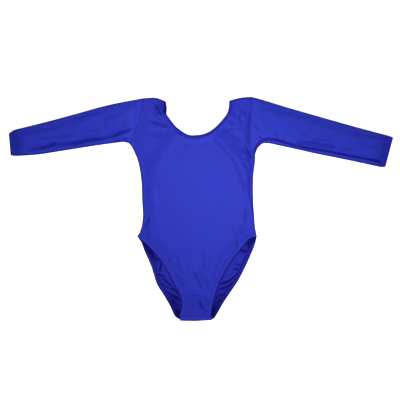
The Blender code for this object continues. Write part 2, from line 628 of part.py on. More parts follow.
def band(name, seam, edge, inward):
    """A folded elastic band with rounded free edge, from its two edges on the outer face."""
    to_edge = edge - seam
    seam = seam + to_edge / np.linalg.norm(to_edge, axis=1)[:, None] * SEAM_GAP
    rings = np.array([
        [a + corner.across * (b - a) + corner.depth * depth_way for corner in BAND_SECTION]
        for a, b, depth_way in zip(seam, edge, inward)
    ])
    count, around = rings.shape[:2]
    ends = [tuple(range(around)), tuple((count - 1) * around + c for c in range(around))]
    made = new_object(name, rings.reshape(-1, 3), ring_quads(count, around, False) + ends)
    work = bmesh.new()
    work.from_mesh(made.data)
    bmesh.ops.recalc_face_normals(work, faces=work.faces)
    work.to_mesh(made.data)
    work.free()
    made.data.set_sharp_from_angle(angle=math.radians(SHARP_DEGREES))


def at_height(plan, height):
    """Plan points at one height, or each at its own."""
    return np.column_stack([plan, np.broadcast_to(height, len(plan))])


def leg_band(side_name, layer, grid):
    """The elastic band on one leg edge. The back's goes on round the crotch fold to the front."""
    left = side_name == "left"
    free_edge = smooth_curve(LEG_EDGES[side_name, layer])
    seam = grid[: (FRONT_ROWS if layer == "front" else BACK_ROWS).leg, 0]
    edge = nearest_on(free_edge, seam)
    edge[-1] = HIP_LEFT if left else HIP_RIGHT
    name = "leg_band_%s_%s" % (side_name, layer)
    if layer == "front":
        edge[0, 1] = CROTCH_SEAM_Y
        height = np.maximum(front_height((seam + edge) / 2), BODY_LOFT) + BAND_RISE
        inward = np.tile((0.0, 0.0, -1.0), (len(seam), 1))
        band(name, at_height(seam, height), at_height(edge, height), inward)
        return
    outward = -LEG_BAND_WIDTH if left else LEG_BAND_WIDTH
    edge[0] = seam[0] + np.array([outward, 0.0])
    turned_seam = np.array(crotch_turn(seam[:1]))[:, 0]
    turned_edge = turned_seam + np.array([outward, 0.0, 0.0])
    turns = np.radians((90.0,) + CROTCH_TURNS)
    turned_in = np.column_stack([np.zeros(len(turns)), np.cos(turns), -np.sin(turns)])
    flat_in = np.tile((0.0, 0.0, 1.0), (len(seam), 1))
    band(
        name,
        np.concatenate([turned_seam, at_height(seam, 0.0)]),
        np.concatenate([turned_edge, at_height(edge, 0.0)]),
        np.concatenate([turned_in, flat_in]),
    )


def neck_band(layer, grids):
    """The elastic band of the neck edge on the front or the back, between the shoulders."""
    front = layer == "front"
    strap = len(FRONT_STATIONS if front else BACK_STATIONS)
    seam = np.concatenate([grids["left"][-strap:, -1][::-1], grids["right"][-strap:, -1][1:]])
    free_edge = smooth_curve(NECK_FRONT if front else NECK_BACK)
    edge = nearest_on(free_edge, seam)
    edge[0], edge[-1] = free_edge[0], free_edge[-1]
    height = 0.0
    if front:
        stacked = 2 * BAND_SECTION[-1].depth + SEAM_GAP
        height = np.maximum(front_height((seam + edge) / 2), stacked) + BAND_RISE
    inward = np.tile((0.0, 0.0, -1.0 if front else 1.0), (len(seam), 1))
    band("neck_band_" + layer, at_height(seam, height), at_height(edge, height), inward)


def clear_scene():
    """Removes the objects that Blender starts with."""
    for old in list(bpy.data.objects):
        bpy.data.objects.remove(old, do_unlink=True)


def main():
    clear_scene()
    garment = bpy.data.collections.new(GARMENT)
    bpy.context.scene.collection.children.link(garment)
    for layer, panel in (("front", front_panel), ("back", back_panel)):
        grids = panel()
        for side_name in ("left", "right"):
            leg_band(side_name, layer, grids[side_name])
        neck_band(layer, grids)
    sleeve("left", SLEEVE_LEFT, ARMHOLE_LEFT, SLEEVE_LEFT_FOLDS, -1.0)
    sleeve("right", SLEEVE_RIGHT, ARMHOLE_RIGHT, SLEEVE_RIGHT_FOLDS, 1.0)
    cuff("left", CUFF_LEFT, -1.0)
    cuff("right", CUFF_RIGHT, 1.0)


main()
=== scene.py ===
"""Looks of a child's long-sleeved leotard in royal-blue stretch knit, laid flat on its back.

The tables and sizes are in millimetres in the CAD model's frame, and the meshes are made in metres.
X runs across the garment from the sleeve at the viewer's left to the one at the right, Y runs from
the crotch to the neck, and Z is the height above the surface that it lies on. Each cloth piece is
an outer surface between the same edges as its CAD solid, with finer folds, seams and stitches.
"""

import math
from collections import namedtuple

import bmesh
import bpy
import numpy as np
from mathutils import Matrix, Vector


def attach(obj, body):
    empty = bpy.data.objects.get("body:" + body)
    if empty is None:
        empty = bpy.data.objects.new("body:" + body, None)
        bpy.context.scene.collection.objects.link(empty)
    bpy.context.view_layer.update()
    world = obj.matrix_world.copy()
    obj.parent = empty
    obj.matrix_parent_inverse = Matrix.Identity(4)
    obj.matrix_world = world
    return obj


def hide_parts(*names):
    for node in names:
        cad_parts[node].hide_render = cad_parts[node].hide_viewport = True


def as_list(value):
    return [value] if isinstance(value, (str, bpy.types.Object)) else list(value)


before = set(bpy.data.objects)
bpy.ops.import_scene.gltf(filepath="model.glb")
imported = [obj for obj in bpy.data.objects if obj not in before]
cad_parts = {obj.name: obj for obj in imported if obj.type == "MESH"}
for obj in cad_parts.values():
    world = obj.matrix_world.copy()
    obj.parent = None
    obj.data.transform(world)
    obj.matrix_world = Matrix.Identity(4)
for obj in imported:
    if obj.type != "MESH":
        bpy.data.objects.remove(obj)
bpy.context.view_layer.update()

MM = 0.001

# A fold reaches as far as its width on its right, as its line runs, and lean times that on its left
Fold = namedtuple("Fold", "line width height sharp lean", defaults=(0.0, 1.0))
Wave = namedtuple("Wave", "height length phase heading", defaults=(0.0, 0.0))
Knit = namedtuple("Knit", "dark light roughness sheen specular rib inner", defaults=(0.9, False))

# How thick the cloth is, and how far apart the outer faces of the two layers lie
WALL = 0.7
CUFF_WALL = 1.2
BODY_LOFT = 4.6
CUFF_LOFT = 4.2

# A seam: the gap between its pieces, the lip of a sleeve or hem under the cloth that it is sewn to,
# how far the cloth dips into the seam, and the seam allowance as a low ridge beside it
SEAM_GAP = 0.1
SEAM_LIP = 1.2
LIP_CLEARANCE = 0.3
SEAM_DIP = 0.5
SEAM_DIP_REACH = 1.8
ALLOWANCE = 0.12
ALLOWANCE_FROM_SEAM = 5.0
ALLOWANCE_REACH = 3.4

# The front rolls down at its sides and shoulders to the height of their seams, higher at the hips
ROLL = 4.5
SEAM_HEIGHT = 1.9
HIP_SEAM_HEIGHT = 3.3
HIP_SEAM_REACH = 22.0

# The rounding of a sleeve's folded edges, as a share of its loft
FOLD_ROUNDING = 0.75

# How far the cloth stands up inside its edges, puffs up between them and rises to the neck, each with
# the distance that it takes. A sleeve's upper edge rises over a distance of its own.
EDGE_RISE = 1.7
EDGE_RISE_REACH = 6.5
EDGE_RISE_CLEAR_OF_LEG = 24.0
SLEEVE_TOP_REACH = {"left": 7.0, "right": 12.0}
PUFF = 1.3
PUFF_REACH = 30.0
SLEEVE_PUFF = 1.8
SLEEVE_PUFF_REACH = 24.0
NECK_CREST = 2.3
NECK_CREST_REACH = 19.0
NECK_CREST_CLEAR_OF_SHOULDER = 30.0

# Folds fade out over a length at their ends, at most a share of their own, become narrow there and
# keep clear of edges. Beside a sharp one the cloth is pushed the other way as a low shoulder, which
# is placed and sized in widths of the fold.
FOLD_FADE = 22.0
FOLD_FADE_SHARE = 0.45
FOLD_END_WIDTH = 0.4
FOLD_CLEAR_OF_EDGE = 4.0
SHOULDER_SHARE = 0.18
SHOULDER_MIDDLE = 1.15
SHOULDER_REACH = 0.85

# Slow waves that the cloth keeps when it has been smoothed out by hand, clear of its edges
DRIFT = (
    Wave(0.14, 62.0, 0.4, 20.0), Wave(0.10, 47.0, 1.7, 75.0),
    Wave(0.16, 83.0, 2.9, -40.0), Wave(0.04, 23.0, 0.9, 110.0),
)
DRIFT_CLEAR_OF_EDGE = 12.0
DRIFT_CLEAR_OF_SLEEVE_EDGE = 14.0

# The gathers that the elastic pulls into the cloth beside a band, stronger and weaker by turns
GATHER_HEIGHT = 0.32
GATHER_REACH = 15.0
GATHER_WAVES = (Wave(1.0, 8.2), Wave(0.6, 5.3, 1.0))
GATHER_EVEN = 0.6
GATHER_UNEVEN = (Wave(0.4, 47.0, 0.5),)

# Elastic bands: their sizes, how far a band stands up beside the cloth, how it swells between the
# gathers, and how near its ends a leg band's seam bends over to them
LEG_BAND_WIDTH = 8.5
NECK_BAND_WIDTH = 6.5
BAND_DEPTH = 1.9
BAND_RISE = 0.25
BAND_SWELL = (Wave(0.10, 7.3), Wave(0.07, 4.9, 1.3))
LEG_SEAM_TURN = 10.0

# Section of a band: shares of its width from the seam to the free edge, and depths in it. The first
# part is its outer side with the grooves of its stitches, the second its inner side. The rows of
# stitches are placed in the same way.
BAND_TOP = (
    (0.0, 0.7), (0.03, 0.3), (0.08, 0.08), (0.14, 0.0), (0.2, 0.02), (0.24, 0.14), (0.28, 0.02),
    (0.36, 0.0), (0.42, 0.02), (0.46, 0.14), (0.5, 0.02), (0.6, 0.0), (0.72, 0.04), (0.82, 0.14),
    (0.9, 0.32), (0.96, 0.58), (0.99, 0.85), (1.0, 1.05),
)
BAND_UNDER = (
    (0.98, 1.35), (0.93, 1.62), (0.85, 1.82), (0.7, 1.9), (0.52, 1.9), (0.47, 1.78), (0.42, 1.9),
    (0.08, 1.9), (-0.14, 1.9), (-0.14, 1.5), (0.0, 1.4),
)
STITCH_ROWS = ((0.24, 0.12), (0.46, 0.12), (0.47, 1.75))

# The hem of a cuff: its gap to the sleeve, its rounded end, and the groove and puckers of its stitches
CUFF_GAP = 0.3
CUFF_END_DIP = 0.5
CUFF_END_REACH = 1.4
CUFF_GROOVE = 0.25
CUFF_GROOVE_FROM_SEAM = 3.2
CUFF_GROOVE_REACH = 1.1
CUFF_PUCKER = 0.25
CUFF_PUCKERS = (Wave(0.6, 23.0, 0.8), Wave(0.4, 10.5))
CUFF_CLEAR_OF_EDGE = 3.0

# Rings before the cuff seam that carry the hem's stitches, and the points left free at their ends
CUFF_STITCH_RINGS = (5, 8)
CUFF_STITCH_INSET = 8

# The crotch seam on the front, and how the back turns up round the crotch fold to it: the turns in
# degrees, then shares of the way from the seam to the fold
CROTCH_SEAM_Y = -257.0
CROTCH_SEAM_LEFT_X = -43.5
CROTCH_SEAM_RIGHT_X = 16.0
CROTCH_FOLD_RADIUS = BODY_LOFT / 2
CROTCH_TURNS = tuple(range(90, -67, -12))
CROTCH_SHARES = (0.0, 0.12, 0.3, 0.6)

# Ripples of the back in the leg openings: how high they may rise under the front's edge and how much
# more beyond it, how far the cloth lies up there, and how they keep clear of the back's bands
RIPPLE_UNDER_FRONT = 1.8
RIPPLE_RISE = 5.6
RIPPLE_RISE_REACH = 11.0
RIPPLE_LIFT = 3.0
RIPPLE_LIFT_START = 0.3
LIFT_CLEAR_OF_BAND = 8.0
CREASE_AT_BAND = 0.25
CREASE_CLEAR_OF_BAND = 7.0

# Thread. The rings of a stitch are given by share of its length, share of its radius, and lift.
THREAD_RADIUS = 0.22
THREAD_SIDES = 6
STITCH_LENGTH = 2.3
STITCH_PITCH = 3.1
STITCH_RINGS = ((0.0, 0.35, -0.12), (0.25, 1.0, 0.1), (0.75, 1.0, 0.1), (1.0, 0.35, -0.12))
STITCHES_CLEAR_OF_END = 1.0
GUSSET_ROWS_APART = 2.6
THREAD_LIFT = 0.1

# The mesh attributes that hold how shaded the cloth is, outside and inside the garment, and the
# shares of its red, green and blue that are left in full shade
SHADE = "shade"
INNER_SHADE = "inner_shade"
SHADE_LEAVES = (0.26, 0.14, 0.50)
INNER_SHADE_LEAVES = (0.16, 0.10, 0.26)

# Painted shade in rims: along the folded edges of the body, the upper edge of a sleeve, and its lower
# edge
RIM_SHADE = 0.8
RIM_WIDTH = 2.8
LOWER_RIM_SHADE = 0.9
LOWER_RIM_WIDTH = 5.5

# Painted shade in creases: how far round a place the cloth is measured to find a crease, how deep a
# crease is when its shade is full, how far up the cloth above it the shade reaches too, and the shade
# on a sleeve's cloth that leans into a crease
HOLLOW_REACH = 2.6
HOLLOW_DEPTH = 0.95
OVERHANG = 1.2
LEAN_REACH = 1.5
LEAN_SHADE = 1.1
LEAN_LIMIT = 0.6
BACK_CREASE_SHADE = 2.2

# Painted shade in the line of an armhole seam, from this Y up to the shoulder and 1.2 of its widths
# to either side, and painted shade on the neck edge
SEAM_SHADE = 0.5
SEAM_SHADE_AT_LEFT = 0.5
SEAM_SHADE_Y = 215.0
SEAM_SHADE_REACH = 25.0
SEAM_SHADE_WIDTH = 1.6
SEAM_SHADE_WIDTHS = 1.2
NECK_SHADE = 0.24
NECK_SHADE_REACH = 6.0

# Shade in the leg openings: beside the front's edge and the back's band, in the corners between
# them, and towards the crotch
OPENING_FRONT_SHADE = 0.9
OPENING_FRONT_REACH = 5.0
OPENING_BACK_SHADE = 0.3
OPENING_BACK_REACH = 7.0
OPENING_CORNER = 8.0
OPENING_CORNER_REACH = 18.0
OPENING_LOW_Y = -175.0
OPENING_LOW_REACH = 60.0
OPENING_LOW_SHADE = 0.65

# Darker over the gusset, which is double; painted shade towards the sleeve's end and over the hem,
# lighter and darker with its puckers
GUSSET_TOP = -204.0
GUSSET_SHADE = 0.15
GUSSET_SHADE_REACH = 5.0
CUFF_SHADE = 0.34
CUFF_SHADE_REACH = 30.0
CUFF_PUCKER_SHADE = 0.13

# How many places are measured at a time, and how near two points are one
CHUNK = 1500
SAME_POINT = 0.01

# How the surfaces are divided: steps between the given points of a curve, the usual distance of rows
# and columns, and where they lie near an edge. The lengths below are those that the rows and columns
# of each part are spaced for. The middle line is split between the leg rows and the side rows, and
# the first share of a sleeve bends from the shape of the armhole to straight.
CURVE_STEPS = 12
FOLD_CURVE_STEPS = 5
SPACING = 2.1
SLEEVE_SPACING = 1.25
CUFF_SPACING = 0.8
NEAR_EDGE = (0.0, 0.4, 0.9, 1.5, 2.3, 3.3, 4.5, 5.9, 7.6, 9.4)
LEG_ROWS_LENGTH = 235.0
SIDE_ROWS_LENGTH = 205.0
STRAP_ROWS_LENGTH = 130.0
HALF_WIDTH = 132.0
SLEEVE_WIDTH = 100.0
CUFF_WIDTH = 70.0
MIDDLE_SPLIT = {"front": 0.47, "back": 0.49}
MIDDLE_POINTS = 60
ARMHOLE_SHAPE_SHARE = 0.33

# The knits: colours between which they vary, roughness, sheen, specular level, the pitch of the ribs
# in millimetres, and whether it is cloth that is seen inside the garment
KNITS = {
    "knit_right_side": Knit((0.0282, 0.0320, 0.385), (0.0256, 0.0356, 0.420), 0.40, 0.01, 0.45),
    # The sleeves' knit is the body's knit made brighter and greener: painted light for the cooler,
    # brighter light on the sleeves
    "knit_sleeve_painted_light": Knit((0.0286, 0.0356, 0.410), (0.0260, 0.0394, 0.447), 0.40, 0.01, 0.45),
    "knit_wrong_side": Knit((0.024, 0.021, 0.345), (0.0225, 0.026, 0.39), 0.46, 0.01, 0.4, 0.9, True),
    # The bands' inner side is darker than the wrong side: partly its denser stitched cloth, partly
    # painted shade
    "band_inside": Knit((0.0200, 0.0185, 0.260), (0.0190, 0.0215, 0.300), 0.5, 0.01, 0.3, 0.7, True),
    "knit_hem": Knit((0.0255, 0.0300, 0.350), (0.0230, 0.0330, 0.385), 0.42, 0.01, 0.40, 0.8),
    "elastic_edge": Knit((0.0270, 0.0325, 0.385), (0.0260, 0.0355, 0.420), 0.42, 0.01, 0.45, 0.7),
    "thread": Knit((0.027, 0.033, 0.42), (0.028, 0.038, 0.50), 0.4, 0.05, 0.5, 0.3),
}

# How much the ribs show in the colour, how far apart the courses lie as a share of the ribs' pitch,
# and how far the roughness varies either way
RIB_TONE = 0.22
COURSE_SHARE = 0.7
GLOSS_SPREAD = 0.06

# Side edges, from just above the hip to the armpit, and the hips
SIDE_LEFT = (
    (-147, -57), (-142, -40), (-139.3, -15), (-141.2, 20), (-142.4, 60),
    (-146.3, 92), (-151.6, 116), (-160.5, 138), (-166.6, 150), (-174, 158),
)
SIDE_RIGHT = (
    (132, -57), (129.6, -42), (127.6, -15), (125.4, 20), (125, 70),
    (126.9, 92), (129.6, 112), (130, 131),
)
HIP_LEFT = (-153.4, -65.8)
HIP_RIGHT = (134, -66)

# Armhole seams, from the armpit to the tip of the shoulder
ARMHOLE_LEFT = (
    (-174, 158), (-170, 166), (-160.5, 184), (-153.2, 201), (-146, 228),
    (-141, 250), (-139.5, 265.4),
)
ARMHOLE_RIGHT = (
    (130, 131), (122.5, 141), (119.2, 157), (118.1, 190), (119.2, 225),
    (120.2, 246), (119.4, 269),
)

# Shoulder edges, from the tip of the shoulder to the neck
SHOULDER_LEFT_FRONT = ((-139.5, 265.4), (-125, 266.6), (-112, 267), (-101.5, 264.9))
SHOULDER_LEFT_BACK = (
    (-139.5, 265.4), (-125, 266.6), (-112, 267), (-101, 264.9), (-90, 260.6),
)
SHOULDER_RIGHT = ((119.4, 269), (106, 268), (94, 266.6), (82.8, 264.1), (74, 261.4))

# Free edges of the neck, from the left shoulder down and up to the right shoulder
NECK_FRONT = (
    (-95, 262), (-94.6, 248), (-90.5, 236), (-80.5, 224), (-72, 212.4),
    (-60.3, 198), (-45, 186), (-29, 177.5), (-12, 177), (6, 179.6),
    (24, 188), (41.3, 202.8), (54.5, 218), (62.8, 230), (66.2, 243), (67.2, 258.8),
)
NECK_BACK = (
    (-84, 257), (-81.8, 243), (-82.2, 226), (-76, 203), (-60, 180),
    (-38, 166), (-13, 161.5), (10, 166), (34, 181), (54, 203),
    (66, 226), (69.6, 243), (69.5, 259.5),
)

# Free edges of the legs, from the hip to the crotch
LEG_LEFT_FRONT = (
    HIP_LEFT, (-134, -81), (-119.5, -95), (-104, -112), (-86, -136),
    (-73, -160), (-61, -183), (-51, -202), (-46, -220), (-46.8, -238),
    (-52, CROTCH_SEAM_Y),
)
LEG_RIGHT_FRONT = (
    HIP_RIGHT, (120, -68.5), (108.7, -77.8), (90.5, -100.5), (71, -125),
    (51.5, -158), (37.2, -192), (28.1, -224), (24.3, -244), (23.6, CROTCH_SEAM_Y),
)
LEG_LEFT_BACK = (
    HIP_LEFT, (-143.2, -80.5), (-136.2, -99.6), (-120.5, -135), (-113.6, -157),
    (-105.5, -181), (-89, -207.6), (-75, -231.6), (-66.2, -250.8), (-61.6, -258.6),
)
LEG_RIGHT_BACK = (
    HIP_RIGHT, (131, -80), (124, -99.6), (108, -135.6), (89.5, -171.6),
    (65.5, -207.6), (53.6, -225.6), (43.8, -243), (32.5, -262),
)
LEG_EDGES = {
    ("left", "front"): LEG_LEFT_FRONT,
    ("left", "back"): LEG_LEFT_BACK,
    ("right", "front"): LEG_RIGHT_FRONT,
    ("right", "back"): LEG_RIGHT_BACK,
}

# Middle line, crotch to neck, and the two ends of the fold at the crotch
CENTRE_FRONT = ((-14, CROTCH_SEAM_Y), (-12, -180), (-9, -60), (-9, 60), (-13, 169.9))
CENTRE_BACK = ((-13, -266.5), (-12, -180), (-9, -60), (-9, 60), (-13, 154.4))
CROTCH_FOLD_LEFT = (-41.5, -266.1)
CROTCH_FOLD_RIGHT = (17.5, -264.6)

# Sleeve sections: the points of the upper and the lower folded edge, from armhole to cuff seam
SLEEVE_LEFT = (
    ((-139.5, 265.4), (-174, 158)), ((-160, 261.5), (-185, 160.2)),
    ((-193, 255.6), (-210, 157.6)), ((-241, 244.6), (-251, 152)),
    ((-289, 231.2), (-297, 144.8)), ((-337, 218), (-344, 137.3)),
    ((-385, 205.4), (-391, 130.2)), ((-442, 191.4), (-438.5, 127)),
)
SLEEVE_RIGHT = (
    ((119.4, 269), (130, 131)), ((134, 265.6), (137.6, 148)),
    ((152, 260.5), (152.5, 157.6)), ((190, 248.7), (191, 151.2)),
    ((238.8, 234.3), (232, 142.3)), ((286.8, 220.7), (276, 132.4)),
    ((334.8, 207), (321, 123.4)), ((382.8, 193.6), (368, 113.7)),
    ((444.5, 177.2), (426, 101.2)),
)
CUFF_LEFT = (SLEEVE_LEFT[-1], ((-450.5, 188.4), (-447.5, 127)), ((-460.8, 181), (-456.2, 128.6)))
CUFF_RIGHT = (SLEEVE_RIGHT[-1], ((452.8, 174.6), (434, 99.8)), ((460.8, 171.8), (442.2, 101.4)))

# The stitched upper edge of the gusset
GUSSET_STITCHES = ((-38, -202), (-19, -207), (4, -209), (16, -208))

# Folds in the upper layer. A height above zero is a ridge and one below it is a trough.
FRONT_FOLDS = (
    # Left strap
    Fold(((-117, 263), (-110, 250), (-101, 235), (-86, 217)), 7.0, -3.6, 0.8),
    Fold(((-103, 254), (-96, 239), (-86, 224)), 4.4, -2.6, 0.8),
    Fold(((-114, 238), (-104, 224), (-92, 213)), 6.0, 1.2),
    Fold(((-134, 215), (-106, 207), (-68, 195)), 8.0, -1.7, 0.3),
    Fold(((-124, 205), (-100, 199), (-76, 187)), 8.0, 1.4),
    Fold(((-134, 186), (-110, 182), (-84, 170)), 12.0, -1.4),
    # Right strap and armpit
    Fold(((118, 240), (116, 200), (114, 148)), 8.5, -2.6, 0.3),
    Fold(((60, 209), (72, 208), (86, 203)), 5.0, -1.2, 0.2),
    Fold(((46, 195), (64, 191), (82, 193)), 8.0, -1.2),
    Fold(((92, 236), (99, 226), (108, 217)), 9.0, 1.8),
    Fold(((106, 240), (93, 226), (96, 210), (106, 200)), 6.0, -1.1),
    Fold(((70, 242), (80, 230), (92, 222)), 6.0, -0.8),
    Fold(((66, 184), (86, 173), (104, 158)), 15.0, -1.4),
    Fold(((106, 158), (110, 143), (118, 127), (122, 110)), 4.6, -3.2, 0.8),
    Fold(((98, 140), (104, 130), (113, 118)), 7.0, 1.5),
    Fold(((111, 125), (114, 118), (117, 110)), 3.6, -2.0, 0.8),
    Fold(((99, 116), (108, 102), (116, 90)), 4.4, -1.2, 0.5),
    Fold(((125, 122), (119, 89), (116, 55), (120, 22), (125, -7), (127, -31)), 3.4, -1.0, 0.8),
    Fold(((112, 96), (108, 55), (113, 18)), 7.0, 1.2),
    # Chest
    Fold(((-46, 186), (-72, 148), (-98, 108), (-114, 70)), 36.0, 3.0, 0.0, 0.42),
    Fold(((29, 184), (57, 150), (84, 118), (101, 82), (108, 44)), 13.0, 2.9, 0.0, 2.4),
    Fold(((-31, 164), (-34, 142), (-42, 100)), 13.0, 0.6),
    Fold(((-12, 162), (-11, 146), (-14, 104)), 12.0, -0.4),
    Fold(((12, 162), (20, 142), (28, 98)), 13.0, 0.6),
    # Waist and hips
    Fold(((-122, 60), (-114, 26), (-110, -12)), 17.0, 1.4),
    Fold(((-121, -14), (-129, -32), (-139, -52)), 6.0, -3.0, 0.8),
    Fold(((-130, -50), (-129, -64), (-127, -80)), 4.4, -2.0, 0.6),
    Fold(((-121, -48), (-119, -62), (-118, -80)), 6.0, 1.2),
    Fold(((112, 12), (109, -19), (108, -42)), 9.0, -1.5),
    Fold(((72, -36), (88, -48), (104, -56)), 16.0, 2.2),
    Fold(((88, -68), (86, -82), (82, -95)), 4.0, -2.0, 0.5),
    # Crotch and gusset
    Fold(((-52, -112), (-46, -134), (-38, -156)), 8.0, 1.2),
    Fold(((-38, -128), (-32, -150), (-22, -176)), 7.0, -0.7, 0.2),
    Fold(((-26, -142), (-8, -172), (4, -202)), 5.0, -1.1, 0.3),
    Fold(((-12, -136), (4, -163), (12, -192)), 4.5, -0.7, 0.3),
    Fold(((-20, -140), (-4, -167), (6, -196)), 5.0, 1.7),
    Fold(((12, -158), (16, -180), (19, -204)), 5.0, -1.2, 0.4),
    Fold(((8, -92), (14, -122), (14, -154)), 12.0, 1.6),
    Fold(((34, -122), (28, -150), (22, -180)), 9.0, 1.0),
    Fold(((58, -96), (48, -120), (40, -146)), 9.0, -0.8),
    Fold(((-70, -98), (-60, -118), (-52, -138)), 9.0, -0.8),
    Fold(((-56, -158), (-46, -180), (-38, -202)), 5.4, -1.5, 0.4),
    Fold(((-63, -150), (-56, -164), (-50, -176)), 3.5, -1.4, 0.4),
    Fold(((-4, -212), (0, -232), (14, -247)), 3.8, -2.8, 0.7),
    Fold(((5, -214), (9, -226), (16, -238)), 4.0, 1.2),
    Fold(((16, -241), (9, -248), (0, -252)), 3.4, -1.8, 0.5),
    Fold(GUSSET_STITCHES, 3.0, -1.2, 0.6),
    Fold(((-80, -114), (-76, -124), (-72, -132)), 3.0, -1.4, 0.5),
    Fold(((52, -118), (56, -126), (60, -134)), 3.0, -1.2, 0.5),
    Fold(((84, -104), (90, -112), (94, -120)), 3.0, -1.2, 0.5),
)
SLEEVE_LEFT_FOLDS = (
    # The long crease above the lower edge
    Fold(
        (
            (-424, 137), (-408, 141), (-389, 145), (-372, 148), (-353, 154), (-338, 153), (-300, 157),
            (-264, 165), (-240, 167), (-216, 173), (-192, 182), (-158, 193),
        ),
        4.6, -2.3, 0.8, 1.4,
    ),
    Fold(((-322, 154), (-286, 160), (-264, 165), (-230, 168)), 4.4, -1.2, 0.8, 1.5),
    Fold(((-396, 144), (-378, 147), (-352, 155), (-334, 153)), 5.0, -1.1, 0.5),
    Fold(((-214, 175), (-192, 183), (-166, 191)), 7.0, -1.2, 0.3),
    Fold(((-406, 157), (-372, 164), (-330, 166), (-290, 174)), 9.0, 1.0),
    Fold(((-380, 139), (-330, 144), (-290, 150), (-250, 156)), 5.0, 1.2),
    Fold(((-222, 165), (-200, 170), (-172, 176)), 7.0, 1.5),
    Fold(((-208, 158), (-199, 162), (-190, 161)), 3.2, -2.0, 0.5),
    Fold(((-188, 163), (-181, 166), (-174, 165)), 3.2, -1.6, 0.5),
    # Above it
    Fold(((-438, 184), (-400, 189), (-362, 196), (-318, 206)), 12.0, -1.5),
    Fold(((-322, 212), (-280, 224), (-230, 236)), 9.0, -1.0),
    Fold(((-320, 194), (-290, 202), (-262, 214)), 9.0, 1.3),
    Fold(((-300, 184), (-270, 190), (-236, 196)), 7.0, -0.8),
    Fold(((-352, 172), (-330, 176), (-300, 180)), 7.0, -0.6),
    Fold(((-240, 206), (-206, 214), (-178, 222)), 14.0, 1.2),
    Fold(((-200, 210), (-182, 200), (-168, 190)), 12.0, -1.2),
    Fold(((-165, 250), (-158, 236), (-160, 216)), 6.0, -1.0),
    Fold(((-434, 176), (-435, 157), (-436, 138)), 3.0, -1.0, 0.5),
)
SLEEVE_RIGHT_FOLDS = (
    # The crease that runs from the armpit to the cuff along the lower edge
    Fold(
        ((124, 124), (131, 145), (139, 158), (149, 165), (164, 167), (180, 165), (212, 156)),
        3.0, -2.6, 0.9,
    ),
    Fold(
        (
            (184, 165), (213, 155), (237, 149), (285, 141), (333, 132), (379, 123), (406, 118),
            (450, 108),
        ),
        3.0, -3.0, 0.9,
    ),
    # Above it
    Fold(((220, 155), (252, 159), (290, 151), (332, 149)), 6.0, -2.2, 0.35),
    Fold(((244, 164), (284, 161), (320, 159)), 7.0, 1.0),
    Fold(((324, 140), (348, 143), (374, 146)), 5.5, -1.6, 0.3),
    Fold(((364, 129), (380, 126.5), (402, 127)), 5.0, -1.3, 0.3),
    Fold(((232, 176), (252, 184), (272, 192)), 8.0, -1.0),
    Fold(((238, 190), (258, 197), (280, 204)), 9.0, 1.0),
    Fold(((150, 250), (230, 226), (279, 211), (331, 195), (440, 170)), 13.0, -0.9),
    Fold(((352, 192), (396, 180), (450, 168)), 9.0, -1.1),
    Fold(((160, 226), (176, 222), (196, 218)), 11.0, 1.1),
    Fold(((134, 236), (156, 240), (172, 236)), 9.0, -0.9),
    Fold(((129, 216), (134, 196), (146, 182)), 6.0, -1.2),
    Fold(((134, 180), (142, 172), (152, 168)), 5.0, -1.2, 0.2),
    Fold(((168, 184), (182, 180), (196, 182)), 8.0, -1.0),
    Fold(((330, 178), (362, 169), (396, 166)), 12.0, 1.2),
    Fold(((372, 160), (404, 152), (436, 150)), 8.0, -1.0),
)

# Creases and ripples in the back, seen on its inner side through the leg openings. They are deep,
# because back_height limits how far they go.
BACK_FOLDS = (
    # Left opening, from the hip down
    Fold(((-138, -82), (-126, -92), (-110, -104)), 5.0, -3.0, 0.7),
    Fold(((-134, -96), (-122, -106), (-106, -116)), 5.0, -3.4, 0.8),
    Fold(((-128, -110), (-116, -117), (-94, -126)), 4.6, -3.6, 0.8),
    Fold(((-94, -120), (-97, -140), (-101, -160)), 5.2, -3.8, 0.8),
    Fold(((-118, -128), (-112, -143), (-104, -160)), 4.4, -2.8, 0.7),
    Fold(((-107, -132), (-106, -148)), 8.0, 1.6),
    Fold(((-114, -158), (-100, -159), (-80, -164)), 5.0, -3.6, 0.8),
    Fold(((-104, -158), (-86, -172), (-69, -188), (-48, -210)), 5.6, -3.8, 0.8),
    Fold(((-84, -166), (-70, -177), (-58, -192)), 7.0, 2.2, 0.2),
    Fold(((-98, -178), (-84, -186), (-66, -194), (-52, -196)), 4.8, -3.4, 0.8),
    Fold(((-88, -194), (-74, -204), (-59, -212), (-44, -226)), 5.6, -3.8, 0.8),
    Fold(((-80, -203), (-66, -214), (-52, -227)), 4.4, 2.4),
    Fold(((-80, -212), (-68, -222), (-48, -238)), 5.6, -3.8, 0.8),
    Fold(((-70, -230), (-60, -240), (-52, -247)), 4.0, 1.8),
    # Right opening, from the hip down
    Fold(((128, -74), (116, -77), (99, -84)), 4.6, -3.4, 0.8),
    Fold(((104, -72), (112, -84), (122, -100)), 4.4, -3.2, 0.8),
    Fold(((114, -70), (120, -80), (127, -90)), 4.0, -2.6, 0.7),
    Fold(((82, -96), (96, -99), (118, -106)), 5.6, -3.8, 0.8),
    Fold(((106, -112), (95, -128), (84, -146)), 14.0, 2.0),
    Fold(((78, -130), (88, -134), (98, -133)), 3.6, -1.8, 0.6),
    Fold(((72, -147), (84, -145), (94, -146)), 3.6, -1.8, 0.6),
    Fold(((38, -184), (60, -175), (74, -168), (90, -152)), 5.4, -3.8, 0.8),
    Fold(((50, -186), (66, -178), (84, -166)), 4.2, 2.2),
    Fold(((36, -194), (58, -189), (70, -184), (86, -166)), 5.4, -3.8, 0.8),
    Fold(((36, -203), (52, -195), (70, -190)), 5.0, 2.2),
    Fold(((28, -219), (46, -208), (60, -204), (74, -194)), 5.8, -3.8, 0.8),
    Fold(((26, -232), (42, -222), (60, -212)), 5.6, -3.8, 0.8),
    Fold(((30, -241), (40, -232), (50, -224)), 4.0, 1.6),
)

